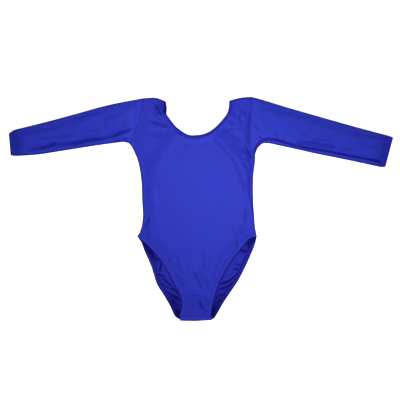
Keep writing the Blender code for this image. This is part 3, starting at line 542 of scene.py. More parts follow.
def smooth_curve(points, steps=CURVE_STEPS):
    """Closely spaced points on a smooth curve through the given ones."""
    given = np.array([(p[0], p[1]) for p in points], float)
    reach = np.concatenate([[0.0], np.cumsum(np.linalg.norm(np.diff(given, axis=0), axis=1))])
    slope = np.empty_like(given)
    slope[1:-1] = (given[2:] - given[:-2]) / (reach[2:] - reach[:-2])[:, None]
    slope[0] = (given[1] - given[0]) / (reach[1] - reach[0])
    slope[-1] = (given[-1] - given[-2]) / (reach[-1] - reach[-2])
    made = []
    for i in range(len(given) - 1):
        span = reach[i + 1] - reach[i]
        t = np.linspace(0.0, 1.0, steps, endpoint=False)[:, None]
        made.append(
            (2 * t**3 - 3 * t**2 + 1) * given[i]
            + (t**3 - 2 * t**2 + t) * span * slope[i]
            + (3 * t**2 - 2 * t**3) * given[i + 1]
            + (t**3 - t**2) * span * slope[i + 1]
        )
    return np.concatenate(made + [given[-1:]])


def lengths(line):
    """The length of a line from its start to each of its points."""
    return np.concatenate([[0.0], np.cumsum(np.linalg.norm(np.diff(line, axis=0), axis=1))])


def share_of_way(line):
    """The share of a line's length at each of its points."""
    reach = lengths(line)
    return reach / reach[-1]


def at_shares(curve, shares):
    """The points of a curve at these shares of its length."""
    way = share_of_way(curve)
    return np.stack([np.interp(shares, way, curve[:, k]) for k in range(curve.shape[1])], axis=1)


def project(curve, places):
    """Distance of each place from a curve, positive on its left, and its foot as a share of the way."""
    way = share_of_way(curve)
    start, step = curve[:-1], np.diff(curve, axis=0)
    size = np.maximum((step**2).sum(1), 1e-9)
    distances, shares = [], []
    for some in np.array_split(places, max(1, len(places) // CHUNK)):
        along = np.clip(((some[:, None] - start) * step).sum(2) / size, 0.0, 1.0)
        off = some[:, None] - (start + along[:, :, None] * step)
        away = np.hypot(off[..., 0], off[..., 1])
        best = away.argmin(axis=1)
        row = np.arange(len(some))
        turn = step[best, 0] * off[row, best, 1] - step[best, 1] * off[row, best, 0]
        distances.append(away[row, best] * np.where(turn < 0.0, -1.0, 1.0))
        shares.append(way[best] + along[row, best] * (way[best + 1] - way[best]))
    return np.concatenate(distances), np.concatenate(shares)


def distance_to(curve, places):
    """How far each place is from a curve."""
    return np.abs(project(curve, places)[0])


def nearest_of(curves, places):
    """How far each place is from the nearest of some curves."""
    return np.min([distance_to(curve, places) for curve in curves], axis=0)


def nearest_on(curve, places):
    """The point of a curve that is nearest to each place."""
    return at_shares(curve, project(curve, places)[1])


def ease(share):
    """0 to 1 with a soft start and end."""
    share = np.clip(share, 0.0, 1.0)
    return share * share * (3 - 2 * share)


def quarter_round(share):
    """The rise of a quarter of an ellipse, 0 at its foot and 1 where it levels out."""
    return np.sqrt(1.0 - (1.0 - np.clip(share, 0.0, 1.0)) ** 2)


def bell(away, sharp=0.0):
    """1 in the middle and 0 from 1 outwards. A sharp one comes to a crease in the middle."""
    near = 1.0 - np.clip(np.abs(away), 0.0, 1.0)
    return sharp * near**1.3 + (1.0 - sharp) * near**2 * (3.0 - 2.0 * near)


def fold_shape(away, sharp):
    """The section of a fold. Beside a sharp one the cloth is pushed a little the other way."""
    shoulder = bell((np.abs(away) - SHOULDER_MIDDLE) / SHOULDER_REACH)
    return bell(away, sharp) - SHOULDER_SHARE * sharp * shoulder


def fold_heights(folds, places):
    """What the folds add to the height at each place. Each narrows and fades out at both ends."""
    total = np.zeros(len(places))
    for fold in folds:
        line = smooth_curve(fold.line, FOLD_CURVE_STEPS)
        reach = 2 * fold.width * max(1.0, fold.lean)
        low, high = line.min(axis=0) - reach, line.max(axis=0) + reach
        near = np.flatnonzero(np.all((places > low) & (places < high), axis=1))
        if not len(near):
            continue
        away, way = project(line, places[near])
        length = lengths(line)[-1]
        fade_length = min(FOLD_FADE, FOLD_FADE_SHARE * length)
        fade = ease(np.minimum(way, 1.0 - way) * length / fade_length)
        narrowing = FOLD_END_WIDTH + (1.0 - FOLD_END_WIDTH) * fade
        width = fold.width * np.where(away > 0.0, fold.lean, 1.0) * narrowing
        total[near] += fold.height * fade * fold_shape(away / width, fold.sharp)
    return total


def hollows(height_of, places):
    """0 on open cloth and up to 1 in creases, where the cloth above them keeps the light out."""
    places = places - np.array((0.0, OVERHANG))
    steps = HOLLOW_REACH * np.array(((1.0, 0.0), (0.0, 1.0), (-1.0, 0.0), (0.0, -1.0)))
    around = np.mean([height_of(places + step) for step in steps], axis=0)
    return np.clip((around - height_of(places)) / HOLLOW_DEPTH, 0.0, 1.0)


def leaning(height_of, places):
    """Painted shade: 0 on level cloth and more where it leans down towards the lower edge, into a
    crease.
    """
    step = np.array((0.0, LEAN_REACH))
    slope = (height_of(places + step) - height_of(places - step)) / (2 * LEAN_REACH)
    return LEAN_SHADE * np.clip(slope, 0.0, LEAN_LIMIT)


def rim(from_edge, shade, width):
    """The shade of a dark rim, which is darkest on the edge itself."""
    return shade * np.clip(1.0 - from_edge / width, 0.0, 1.0)


def wavy(waves, along):
    """The height of some waves together, at these distances along them."""
    return sum(wave.height * np.sin(2 * math.pi * along / wave.length + wave.phase) for wave in waves)


def drift(places):
    """Slow waves over the whole garment."""
    total = np.zeros(len(places))
    for wave in DRIFT:
        heading = math.radians(wave.heading)
        total += wavy([wave], places[:, 0] * math.cos(heading) + places[:, 1] * math.sin(heading))
    return total


def gathers(curve, places):
    """Small ripples across a gathered seam, dying away from it."""
    away, way = project(curve, places)
    along = way * lengths(curve)[-1]
    uneven = GATHER_EVEN + wavy(GATHER_UNEVEN, along)
    near = ease(1.0 - np.abs(away) / GATHER_REACH)
    return GATHER_HEIGHT * wavy(GATHER_WAVES, along) * uneven * near


def seam_dip(away):
    """How far the cloth turns down at a seam, with the seam allowance as a low ridge beside it."""
    ridge = ALLOWANCE * bell((away - ALLOWANCE_FROM_SEAM) / ALLOWANCE_REACH)
    return ridge - SEAM_DIP * (1.0 - quarter_round(away / SEAM_DIP_REACH))


def beside(curve, distance):
    """The line at this distance to the left of a curve, as it runs."""
    run = np.gradient(curve, axis=0)
    run /= np.linalg.norm(run, axis=1)[:, None]
    return curve + distance * np.stack([-run[:, 1], run[:, 0]], axis=1)


def leg_seam(edge, hip, crotch, width):
    """Where the leg band joins its panel: from the side, inside the free edge, to the crotch."""
    line = beside(edge, width)
    from_hip = np.linalg.norm(line - np.array(hip), axis=1)
    from_crotch = np.linalg.norm(line - np.array(crotch), axis=1)
    kept = line[(from_hip > LEG_SEAM_TURN) & (from_crotch > LEG_SEAM_TURN)]
    return smooth_curve([hip, *kept[:: CURVE_STEPS // 2], crotch])


def stations(length, near_start, near_end, spacing=SPACING):
    """Shares of a length, close together near the ends where asked."""
    near = np.array(NEAR_EDGE) * min(1.0, length / (4 * NEAR_EDGE[-1]))
    low = near if near_start else np.zeros(1)
    high = length - near[::-1] if near_end else np.array([length])
    steps = max(2, round((high[0] - low[-1]) / spacing))
    return np.concatenate([low, np.linspace(low[-1], high[0], steps + 1)[1:-1], high]) / length


def body_lines(side_name, layer):
    """The edges of a half of the front or back, each from the crotch towards the shoulder."""
    left = side_name == "left"
    front = layer == "front"
    side = smooth_curve(SIDE_LEFT if left else SIDE_RIGHT)
    crotch_x = CROTCH_SEAM_LEFT_X if left else CROTCH_SEAM_RIGHT_X
    fold = CROTCH_FOLD_LEFT if left else CROTCH_FOLD_RIGHT
    crotch = (crotch_x, CROTCH_SEAM_Y) if front else fold
    width = LEG_BAND_WIDTH if left else -LEG_BAND_WIDTH
    leg = leg_seam(LEG_CURVES[side_name, layer], tuple(side[0]), crotch, width)[::-1]
    armhole = smooth_curve(ARMHOLE_LEFT if left else ARMHOLE_RIGHT)
    left_shoulder = SHOULDER_LEFT_FRONT if front else SHOULDER_LEFT_BACK
    shoulder = smooth_curve(left_shoulder if left else SHOULDER_RIGHT)
    middle_end = np.array((CENTRE_FRONT if front else CENTRE_BACK)[-1], float)
    neck = beside(smooth_curve(NECK_FRONT if front else NECK_BACK), -NECK_BAND_WIDTH)
    split = int(np.argmin(np.linalg.norm(neck - middle_end, axis=1)))
    half_neck = neck[:split][::-1] if left else neck[split + 1 :]
    half_neck = half_neck[np.linalg.norm(half_neck - middle_end, axis=1) > NEAR_EDGE[-1] / 2]
    return leg, side, armhole, shoulder, np.concatenate([[middle_end], half_neck])


LEG_CURVES = {key: smooth_curve(edge) for key, edge in LEG_EDGES.items()}
LEG_ROWS = stations(LEG_ROWS_LENGTH, True, False)
SIDE_ROWS = stations(SIDE_ROWS_LENGTH, False, False)[1:]
STRAP_ROWS = stations(STRAP_ROWS_LENGTH, True, True)[1:]
COLUMNS = stations(HALF_WIDTH, True, True)


def half_panel(side_name, layer):
    """A half of the front or back in plan: rows of points from its edge to the middle or neck."""
    leg, side, armhole, shoulder, neck = body_lines(side_name, layer)
    middle = smooth_curve(CENTRE_FRONT if layer == "front" else CENTRE_BACK)
    split = MIDDLE_SPLIT[layer]
    low = at_shares(middle, np.linspace(0.0, split, MIDDLE_POINTS))
    high = at_shares(middle, np.linspace(split, 1.0, MIDDLE_POINTS))
    parts = []
    for outer, inner, rows in (
        (leg, low, LEG_ROWS), (side, high, SIDE_ROWS), (armhole, neck, STRAP_ROWS)
    ):
        ends = at_shares(outer, rows), at_shares(inner, rows)
        parts.append(ends[0][:, None] + COLUMNS[:, None] * (ends[1] - ends[0])[:, None])
    grid = np.concatenate(parts)
    bow = at_shares(shoulder, share_of_way(grid[-1])) - grid[-1]
    grid[-len(STRAP_ROWS) :] += ease(STRAP_ROWS)[:, None, None] * bow
    return grid


GRIDS = {(side, layer): half_panel(side, layer) for side, layer in LEG_EDGES}
SEAMS = {key: grid[: len(LEG_ROWS), 0] for key, grid in GRIDS.items()}
FRONT_LEG_SEAMS = SEAMS["left", "front"], SEAMS["right", "front"]
BACK_LEG_SEAMS = SEAMS["left", "back"], SEAMS["right", "back"]
SIDES = smooth_curve(SIDE_LEFT), smooth_curve(SIDE_RIGHT)
SHOULDERS = smooth_curve(SHOULDER_LEFT_FRONT), smooth_curve(SHOULDER_RIGHT)
ARMHOLES = smooth_curve(ARMHOLE_LEFT), smooth_curve(ARMHOLE_RIGHT)
NECK_SEAM = beside(smooth_curve(NECK_FRONT), -NECK_BAND_WIDTH)
CROTCH_SEAM = np.array(((CROTCH_SEAM_LEFT_X, CROTCH_SEAM_Y), (CROTCH_SEAM_RIGHT_X, CROTCH_SEAM_Y)))


def front_level(places):
    """Height of the front without folds, rolled down at its edges, and the distance from them."""
    from_edge = nearest_of(SIDES + SHOULDERS, places)
    hips = np.array((HIP_LEFT, HIP_RIGHT))
    from_hip = np.linalg.norm(places[:, None] - hips, axis=2).min(axis=1)
    foot = HIP_SEAM_HEIGHT + (SEAM_HEIGHT - HIP_SEAM_HEIGHT) * ease(from_hip / HIP_SEAM_REACH)
    return foot + (BODY_LOFT - foot) * quarter_round(from_edge / ROLL), from_edge


def seam_shade(from_seam, places):
    """Painted shade in the line of an armhole seam, which shows most at the right shoulder."""
    side = np.where(places[:, 0] > 0.0, 1.0, SEAM_SHADE_AT_LEFT)
    strength = SEAM_SHADE * ease((places[:, 1] - SEAM_SHADE_Y) / SEAM_SHADE_REACH) * side
    return strength * np.clip(SEAM_SHADE_WIDTHS - from_seam / SEAM_SHADE_WIDTH, 0.0, 1.0)


def edge_rise(from_edge):
    """How far the cloth stands up inside its folded sides and shoulders."""
    return EDGE_RISE * quarter_round(from_edge / EDGE_RISE_REACH)


def neck_crest(places):
    """How far the elastic holds the neck edge up off the chest."""
    near = ease(1.0 - distance_to(NECK_SEAM, places) / NECK_CREST_REACH)
    return NECK_CREST * near * ease(nearest_of(SHOULDERS, places) / NECK_CREST_CLEAR_OF_SHOULDER)


def front_height(places):
    """Height of the outer face of the front, with its folds, seams and gathers."""
    level, from_edge = front_level(places)
    from_leg = nearest_of(FRONT_LEG_SEAMS + (CROTCH_SEAM,), places)
    from_free = np.minimum(from_leg, distance_to(NECK_SEAM, places))
    from_seam = np.minimum(from_free, nearest_of(ARMHOLES, places))
    folds = fold_heights(FRONT_FOLDS, places)
    loose = ease(np.minimum(from_edge, from_free) / FOLD_CLEAR_OF_EDGE)
    pulled = sum(gathers(curve, places) for curve in FRONT_LEG_SEAMS + (NECK_SEAM,))
    slow = (drift(places) + pulled) * ease(from_edge / DRIFT_CLEAR_OF_EDGE)
    puff = PUFF * ease(np.minimum(from_edge, from_seam) / PUFF_REACH)
    rise = edge_rise(from_edge) * ease(from_leg / EDGE_RISE_CLEAR_OF_LEG)
    return level + puff + rise + neck_crest(places) + (folds * loose + slow) + seam_dip(from_seam)


def opening_shade(places):
    """Painted shade on the back in the leg openings: most by the front's edge, in corners and low down.
    """
    from_front = nearest_of([LEG_CURVES[side, "front"] for side in ("left", "right")], places)
    from_back = nearest_of(BACK_LEG_SEAMS, places)
    by_front = OPENING_FRONT_SHADE * (1.0 - ease(from_front / OPENING_FRONT_REACH))
    by_back = OPENING_BACK_SHADE * (1.0 - ease(from_back / OPENING_BACK_REACH))
    corner = 1.0 - ease((from_front + from_back - OPENING_CORNER) / OPENING_CORNER_REACH)
    low = OPENING_LOW_SHADE * ease((OPENING_LOW_Y - places[:, 1]) / OPENING_LOW_REACH)
    return np.max([by_front, by_back, corner, low], axis=0)


def back_height(places):
    """Height of the outer face of the back, which lies on the surface but for its ripples."""
    from_band = nearest_of(BACK_LEG_SEAMS, places)
    left_out = -project(LEG_CURVES["left", "front"], places)[0]
    right_out = project(LEG_CURVES["right", "front"], places)[0]
    middle_x = CENTRE_FRONT[1][0]
    out = np.where(places[:, 0] < middle_x, left_out, right_out) / RIPPLE_RISE_REACH
    most = RIPPLE_UNDER_FRONT + RIPPLE_RISE * ease(out)
    lift = RIPPLE_LIFT * ease(out + RIPPLE_LIFT_START) * ease(from_band / LIFT_CLEAR_OF_BAND)
    free = CREASE_AT_BAND + (1.0 - CREASE_AT_BAND) * ease(from_band / CREASE_CLEAR_OF_BAND)
    ripples = np.maximum(lift + fold_heights(BACK_FOLDS, places) * free, 0.0)
    return most * np.tanh(ripples / most)


def quads(rows, columns, first, turned):
    """Faces of a grid of points that are numbered row by row from first."""
    corner = first + (np.arange(rows - 1)[:, None] * columns + np.arange(columns - 1)).ravel()
    faces = np.stack([corner, corner + 1, corner + columns + 1, corner + columns], axis=1)
    return faces[:, ::-1] if turned else faces


def ring_quads(rings, around, turned):
    """Faces between rings of points, each ring closed."""
    row = np.arange(rings - 1)[:, None] * around
    here, there = np.arange(around), (np.arange(around) + 1) % around
    faces = np.stack([row + here, row + there, row + around + there, row + around + here], axis=2)
    faces = faces.reshape(-1, 4)
    return faces[:, ::-1] if turned else faces


def new_piece(name, points, faces, materials):
    """A smooth mesh object from points in millimetres, with points that coincide made one."""
    mesh = bpy.data.meshes.new(name)
    mesh.from_pydata((np.asarray(points) * MM).tolist(), [], [list(map(int, face)) for face in faces])
    work = bmesh.new()
    work.from_mesh(mesh)
    bmesh.ops.remove_doubles(work, verts=work.verts, dist=SAME_POINT * MM)
    work.to_mesh(mesh)
    work.free()
    mesh.shade_smooth()
    for material in materials:
        mesh.materials.append(material)
    made = bpy.data.objects.new(name, mesh)
    bpy.context.scene.collection.objects.link(made)
    return made


def store_shade(piece, shade, name=SHADE):
    """Keeps on the mesh how shaded each of its points is, from a function of their places."""
    places = np.array([vertex.co for vertex in piece.data.vertices]) / MM
    attribute = piece.data.attributes.new(name, "FLOAT", "POINT")
    attribute.data.foreach_set("value", np.clip(shade(places), 0.0, 1.0).astype(np.float32))


def add_wall(cloth, thickness):
    """Lays a wall of this thickness on the inner side, with the second material if there is one."""
    wall = cloth.modifiers.new("Wall", "SOLIDIFY")
    wall.thickness = thickness * MM
    wall.offset = -1.0
    wall.use_even_offset = True
    wall.use_rim = True
    wall.material_offset = len(cloth.data.materials) - 1


def lifted(grid, heights):
    """Plan points with their heights, as a grid of the same shape."""
    return np.concatenate([grid, np.reshape(heights, grid.shape[:2] + (1,))], axis=2)


def at_height(plan, height):
    """Plan points at one height, or each at its own."""
    return np.column_stack([plan, np.broadcast_to(height, len(plan))])


def panel_piece(name, halves, materials):
    """A panel from its left and right half grids, which share the points of the middle line."""
    points, faces, count = [], [], 0
    for grid, turned in halves:
        faces.append(quads(*grid.shape[:2], count, turned))
        points.append(grid.reshape(-1, 3))
        count += len(points[-1])
    made = new_piece(name, np.concatenate(points), np.concatenate(faces), materials)
    add_wall(made, WALL)
    return made


def crotch_turn(fold_row):
    """Rows that carry the back up round the crotch fold to its seam on the front, seam first."""
    seam_y = np.full(len(fold_row), CROTCH_SEAM_Y - SEAM_GAP)
    rows = []
    for share in CROTCH_SHARES:
        y = seam_y + share * (fold_row[:, 1] - seam_y)
        z = BODY_LOFT - SEAM_DIP * (1.0 - quarter_round((seam_y - y) / SEAM_DIP_REACH))
        rows.append(np.column_stack([fold_row[:, 0], y, z]))
    for turn in np.radians(CROTCH_TURNS):
        y = fold_row[:, 1] - CROTCH_FOLD_RADIUS * math.cos(turn)
        z = np.full(len(fold_row), CROTCH_FOLD_RADIUS * (1.0 + math.sin(turn)))
        rows.append(np.column_stack([fold_row[:, 0], y, z]))
    return np.array(rows)


def front_piece(materials):
    """Front of the body: two halves that meet on the middle line and part round the neck."""
    halves = []
    for side_name in ("left", "right"):
        grid = GRIDS[side_name, "front"]
        heights = front_height(grid.reshape(-1, 2))
        halves.append((lifted(grid, heights), side_name == "right"))
    made = panel_piece("cloth_front", halves, materials)

    # Painted shade: rims along the folded sides and shoulders, creases, the armhole seams and the neck
    # edge; the gusset is darker on top of that
    def shade(places):
        plan = places[:, :2]
        edge = rim(nearest_of(SIDES + SHOULDERS, plan), RIM_SHADE, RIM_WIDTH)
        creases = hollows(lambda spots: fold_heights(FRONT_FOLDS, spots), plan)
        seam = seam_shade(nearest_of(ARMHOLES, plan), plan)
        neck = NECK_SHADE * ease(1.0 - distance_to(NECK_SEAM, plan) / NECK_SHADE_REACH)
        gusset = GUSSET_SHADE * ease((GUSSET_TOP - plan[:, 1]) / GUSSET_SHADE_REACH)
        return np.max([edge, creases, seam, neck], axis=0) + gusset

    store_shade(made, shade)
    return made


def back_piece(materials):
    """Back of the body, which lies on the surface and turns up round the crotch to the front."""
    halves = []
    for side_name in ("left", "right"):
        grid = GRIDS[side_name, "back"]
        flat = lifted(grid, back_height(grid.reshape(-1, 2)))
        halves.append((np.concatenate([crotch_turn(grid[0]), flat]), side_name == "left"))
    made = panel_piece("cloth_back", halves, materials)

    # Painted shade on the inner side, seen through the leg openings: by their edges, in corners, low
    # down and in creases
    def shade(places):
        plan = places[:, :2]
        creases = hollows(lambda spots: fold_heights(BACK_FOLDS, spots), plan)
        return np.maximum(opening_shade(plan), BACK_CREASE_SHADE * creases)

    store_shade(made, shade, INNER_SHADE)
    return made


def tube_heights(way, width, loft, upper):
    """Heights round a flattened tube: level in the middle and rounded at its folded edges."""
    from_edge = np.minimum(way, 1.0 - way) * width
    rise = quarter_round(from_edge / (FOLD_ROUNDING * loft))
    return loft / 2 * (1.0 + rise if upper else 1.0 - rise)


def tube_ring(top, bottom, loft, way, bow, extra):
    """One ring of a flattened tube between two folded edges; extra raises its upper layer."""
    width = np.linalg.norm(bottom - top)
    plan = top + way[:, None] * (bottom - top) + bow
    over = np.column_stack([plan, tube_heights(way, width, loft, True) + extra(plan, way, width)])
    under = np.column_stack([plan, tube_heights(way, width, loft, False)])
    return np.concatenate([over, under[-2:0:-1]])


def sleeve_piece(side, sections, armhole, folds, outward, materials):
    """A sleeve laid flat. Its first ring follows the armhole, and the rest straighten to the cuff."""
    upper_edge = smooth_curve([section[0] for section in sections])
    lower_edge = smooth_curve([section[1] for section in sections])
    length = (lengths(upper_edge)[-1] + lengths(lower_edge)[-1]) / 2
    way = stations(SLEEVE_WIDTH, True, True, SLEEVE_SPACING)
    hole = smooth_curve(armhole)
    line = at_shares(beside(hole, -outward * SEAM_GAP), 1.0 - way)
    first_bow = line - (upper_edge[0] + way[:, None] * (lower_edge[0] - upper_edge[0]))
    rings = []
    for share in stations(length, True, True):
        top, bottom = at_shares(upper_edge, [share])[0], at_shares(lower_edge, [share])[0]
        from_end = (1.0 - share) * length

        def extra(plan, across, width, from_end=from_end):
            from_fold = np.minimum(across, 1.0 - across) * width
            from_seam = np.minimum(distance_to(hole, plan), from_end)
            clear = ease(from_fold / FOLD_CLEAR_OF_EDGE)
            slow = drift(plan) * ease(from_fold / DRIFT_CLEAR_OF_SLEEVE_EDGE)
            reach = np.where(across < 0.5, SLEEVE_TOP_REACH[side], EDGE_RISE_REACH)
            rise = EDGE_RISE * quarter_round(from_fold / reach)
            puff = SLEEVE_PUFF * ease(from_fold / SLEEVE_PUFF_REACH) * ease(from_seam / PUFF_REACH)
            return fold_heights(folds, plan) * clear + slow + rise + puff + seam_dip(from_seam) * clear

        bow = first_bow * (1.0 - ease(share / ARMHOLE_SHAPE_SHARE))
        loft = BODY_LOFT + (CUFF_LOFT - BODY_LOFT) * share
        rings.append(tube_ring(top, bottom, loft, way, bow, extra))
    made = tube_piece("cloth_sleeve_" + side, rings, WALL, outward, materials)
    cuff_seam = np.array(sections[-1], float)

    def height_of(plan):
        return fold_heights(folds, plan)

    # Painted shade: rims along both folded edges, creases and the cloth that leans into them, the
    # armhole seam, and more towards the cuff
    def shade(places):
        plan = places[:, :2]
        upper_rim = rim(distance_to(upper_edge, plan), RIM_SHADE, RIM_WIDTH)
        lower_rim = rim(distance_to(lower_edge, plan), LOWER_RIM_SHADE, LOWER_RIM_WIDTH)
        on_top = places[:, 2] > BODY_LOFT / 2
        creases = np.maximum(hollows(height_of, plan), leaning(height_of, plan)) * on_top
        seam = seam_shade(distance_to(hole, plan), plan)
        near_cuff = ease(1.0 - distance_to(cuff_seam, plan) / CUFF_SHADE_REACH)
        return np.max([upper_rim, lower_rim, creases, seam], axis=0) + CUFF_SHADE * near_cuff

    store_shade(made, shade)
    rows = [rings[-k][CUFF_STITCH_INSET : len(way) - CUFF_STITCH_INSET] for k in CUFF_STITCH_RINGS]
    return made, rows


def tube_piece(name, rings, thickness, outward, materials):
    """A tube through rings of points, open at both ends, with a lip under the cloth it is sewn to."""
    lip = rings[0] - np.array([outward * (SEAM_LIP + SEAM_GAP), 0.0, 0.0])
    from_middle = rings[0][:, 2] - BODY_LOFT / 2
    inside = np.clip(np.abs(from_middle) - WALL - LIP_CLEARANCE, 0.0, None)
    lip[:, 2] = BODY_LOFT / 2 + np.sign(from_middle) * inside
    step = rings[0].copy()
    step[:, 2] = lip[:, 2]
    rings = np.array([lip, step, *rings])
    faces = ring_quads(*rings.shape[:2], outward < 0)
    made = new_piece(name, rings.reshape(-1, 3), faces, materials)
    add_wall(made, thickness)
    return made


def cuff_piece(side, sections, outward, materials):
    """The turned hem at the wrist: a short flattened tube with its stitch groove and rounded end."""
    way = stations(CUFF_WIDTH, True, True)
    tops = smooth_curve([section[0] for section in sections])
    bottoms = smooth_curve([section[1] for section in sections])
    width = lengths(tops)[-1]
    rings = []
    for share in stations(width, True, True, CUFF_SPACING):
        top, bottom = at_shares(tops, [share])[0], at_shares(bottoms, [share])[0]
        gap = np.array([outward * CUFF_GAP * (1.0 - share), 0.0])
        from_seam, from_end = share * width, (1.0 - share) * width
        end = CUFF_END_DIP * (1.0 - quarter_round(from_end / CUFF_END_REACH))
        groove = CUFF_GROOVE * bell((from_seam - CUFF_GROOVE_FROM_SEAM) / CUFF_GROOVE_REACH)
        level = seam_dip(np.array([from_seam]))[0] - end - groove

        def extra(plan, across, across_width, level=level):
            from_fold = np.minimum(across, 1.0 - across) * across_width
            puckers = CUFF_PUCKER * wavy(CUFF_PUCKERS, plan[:, 1])
            return (level + puckers) * ease(from_fold / CUFF_CLEAR_OF_EDGE)

        rings.append(tube_ring(top, bottom, CUFF_LOFT, way, gap, extra))
    made = tube_piece("hem_cuff_" + side, rings, CUFF_WALL, outward, materials)

    # Painted shade over the whole hem, lighter and darker with its puckers
    def shade(places):
        return CUFF_SHADE - CUFF_PUCKER_SHADE * wavy(CUFF_PUCKERS, places[:, 1])

    store_shade(made, shade)
    return made


def band_piece(name, seam, edge, inward, materials):
    """A turned elastic edge with a rounded fold and stitch grooves, and the lines of its stitches."""
    to_edge = edge - seam
    seam = seam + to_edge / np.linalg.norm(to_edge, axis=1)[:, None] * SEAM_GAP
    swell = wavy(BAND_SWELL, lengths((seam + edge) / 2))

    def line_at(across, depth):
        swollen = depth - swell * (1.0 - depth / BAND_DEPTH)
        return seam + across * (edge - seam) + swollen[:, None] * inward

    rings = np.stack([line_at(*place) for place in BAND_TOP + BAND_UNDER], axis=1)
    count, around = rings.shape[:2]
    sides = ring_quads(count, around, False).tolist()
    ends = [list(range(around)), list(range((count - 1) * around, count * around))]
    made = new_piece(name, rings.reshape(-1, 3), sides + ends, materials)
    inner = np.tile(np.arange(around) >= len(BAND_TOP), count - 1).astype(int).tolist()
    made.data.polygons.foreach_set("material_index", inner + [0, 0])
    work = bmesh.new()
    work.from_mesh(made.data)
    bmesh.ops.recalc_face_normals(work, faces=work.faces)
    work.to_mesh(made.data)
    work.free()
    return made, [line_at(*place) for place in STITCH_ROWS]


def leg_band(side_name, layer, materials):
    """The elastic band on one leg edge. The back's goes on round the crotch fold to the front."""
    left = side_name == "left"
    seam = SEAMS[side_name, layer]
    edge = nearest_on(LEG_CURVES[side_name, layer], seam)
    edge[-1] = HIP_LEFT if left else HIP_RIGHT
    name = "band_leg_%s_%s" % (side_name, layer)
    if layer == "front":
        edge[0, 1] = CROTCH_SEAM_Y
        height = np.maximum(front_level((seam + edge) / 2)[0], BODY_LOFT) + BAND_RISE
        inward = np.tile((0.0, 0.0, -1.0), (len(seam), 1))
        return band_piece(name, at_height(seam, height), at_height(edge, height), inward, materials)
    outward = -LEG_BAND_WIDTH if left else LEG_BAND_WIDTH
    edge[0] = seam[0] + np.array([outward, 0.0])
    turned_seam = crotch_turn(seam[:1])[:, 0]
    turned_edge = turned_seam + np.array([outward, 0.0, 0.0])
    turns = np.radians(CROTCH_TURNS[:1] * len(CROTCH_SHARES) + CROTCH_TURNS)
    turned_in = np.column_stack([np.zeros(len(turns)), np.cos(turns), -np.sin(turns)])
    flat_in = np.tile((0.0, 0.0, 1.0), (len(seam), 1))
    made, rows = band_piece(
        name,
        np.concatenate([turned_seam, at_height(seam, 0.0)]),
        np.concatenate([turned_edge, at_height(edge, 0.0)]),
        np.concatenate([turned_in, flat_in]),
        materials,
    )
    # Painted shade on the inner side of the back's band, as on the back in the leg openings
    store_shade(made, lambda places: opening_shade(places[:, :2]), INNER_SHADE)
    return made, rows


def neck_band(layer, materials):
    """The elastic band of the neck edge on the front or the back, between the shoulders."""
    strap = len(STRAP_ROWS) + 1
    left, right = GRIDS["left", layer], GRIDS["right", layer]
    seam = np.concatenate([left[-strap:, -1][::-1], right[-strap:, -1][1:]])
    free_edge = smooth_curve(NECK_FRONT if layer == "front" else NECK_BACK)
    edge = nearest_on(free_edge, seam)
    edge[0], edge[-1] = free_edge[0], free_edge[-1]
    height = crest = 0.0
    if layer == "front":
        stacked = 2 * BAND_DEPTH + SEAM_GAP
        level, from_edge = front_level((seam + edge) / 2)
        height = np.maximum(level, stacked) + edge_rise(from_edge) + BAND_RISE
        crest = neck_crest(seam)
    inward = np.tile((0.0, 0.0, -1.0 if layer == "front" else 1.0), (len(seam), 1))
    ends = at_height(seam, height + crest), at_height(edge, height)
    made, rows = band_piece("band_neck_" + layer, *ends, inward, materials)
    # Painted shade: the neck edge's on the front band, and full shade on the inner side of the back's
    # band, in the shadow under the front
    shade, kept_as = (NECK_SHADE, SHADE) if layer == "front" else (1.0, INNER_SHADE)
    store_shade(made, lambda places: np.full(len(places), shade), kept_as)
    return made, rows


def stitches(name, lines, material):
    """Rows of short threads, each a thin spindle that dips into the cloth at both ends."""
    angles = 2 * math.pi * np.arange(THREAD_SIDES) / THREAD_SIDES
    points, faces = [], []
    for line in lines:
        reach = lengths(line)
        last_start = reach[-1] - STITCH_LENGTH - STITCHES_CLEAR_OF_END
        for start in np.arange(STITCHES_CLEAR_OF_END, last_start, STITCH_PITCH):
            ends = at_shares(line, np.array([start, start + STITCH_LENGTH]) / reach[-1])
            run = ends[1] - ends[0]
            side = np.cross(run, (0.0, 0.0, 1.0))
            side /= np.linalg.norm(side) or 1.0
            up = np.cross(side, run) / np.linalg.norm(run)
            first = len(points)
            for share, size, lift in STITCH_RINGS:
                centre = ends[0] + share * run + lift * up
                for angle in angles:
                    spoke = math.cos(angle) * side + math.sin(angle) * up
                    points.append(centre + THREAD_RADIUS * size * spoke)
            faces += (ring_quads(len(STITCH_RINGS), THREAD_SIDES, False) + first).tolist()
            last, end = len(points) - THREAD_SIDES, len(points)
            faces += [list(range(first, first + THREAD_SIDES))[::-1], list(range(last, end))]
    return new_piece(name, np.array(points), faces, [material])


def seam_rows():
    """Lines on the front for the stitches of the gusset's top edge and of the crotch seam."""
    top = smooth_curve(GUSSET_STITCHES)
    crotch = CROTCH_SEAM + np.array((0.0, SEAM_DIP_REACH))
    second = top - np.array((0.0, GUSSET_ROWS_APART))
    rows = [top, second, at_shares(crotch, np.linspace(0.03, 0.97, 20))]
    return [at_height(row, front_height(row) + THREAD_LIFT) for row in rows]


def supply(socket, value):
    """Gives a node's input a value, or links it to the output that feeds it."""
    if isinstance(value, bpy.types.NodeSocket):
        socket.id_data.links.new(value, socket)
    else:
        socket.default_value = value


def feed(node, **inputs):
    """Supplies inputs of a node, which are named here with an underscore for a space."""
    for name, value in inputs.items():
        supply(node.inputs[name.replace("_", " ")], value)
    return node


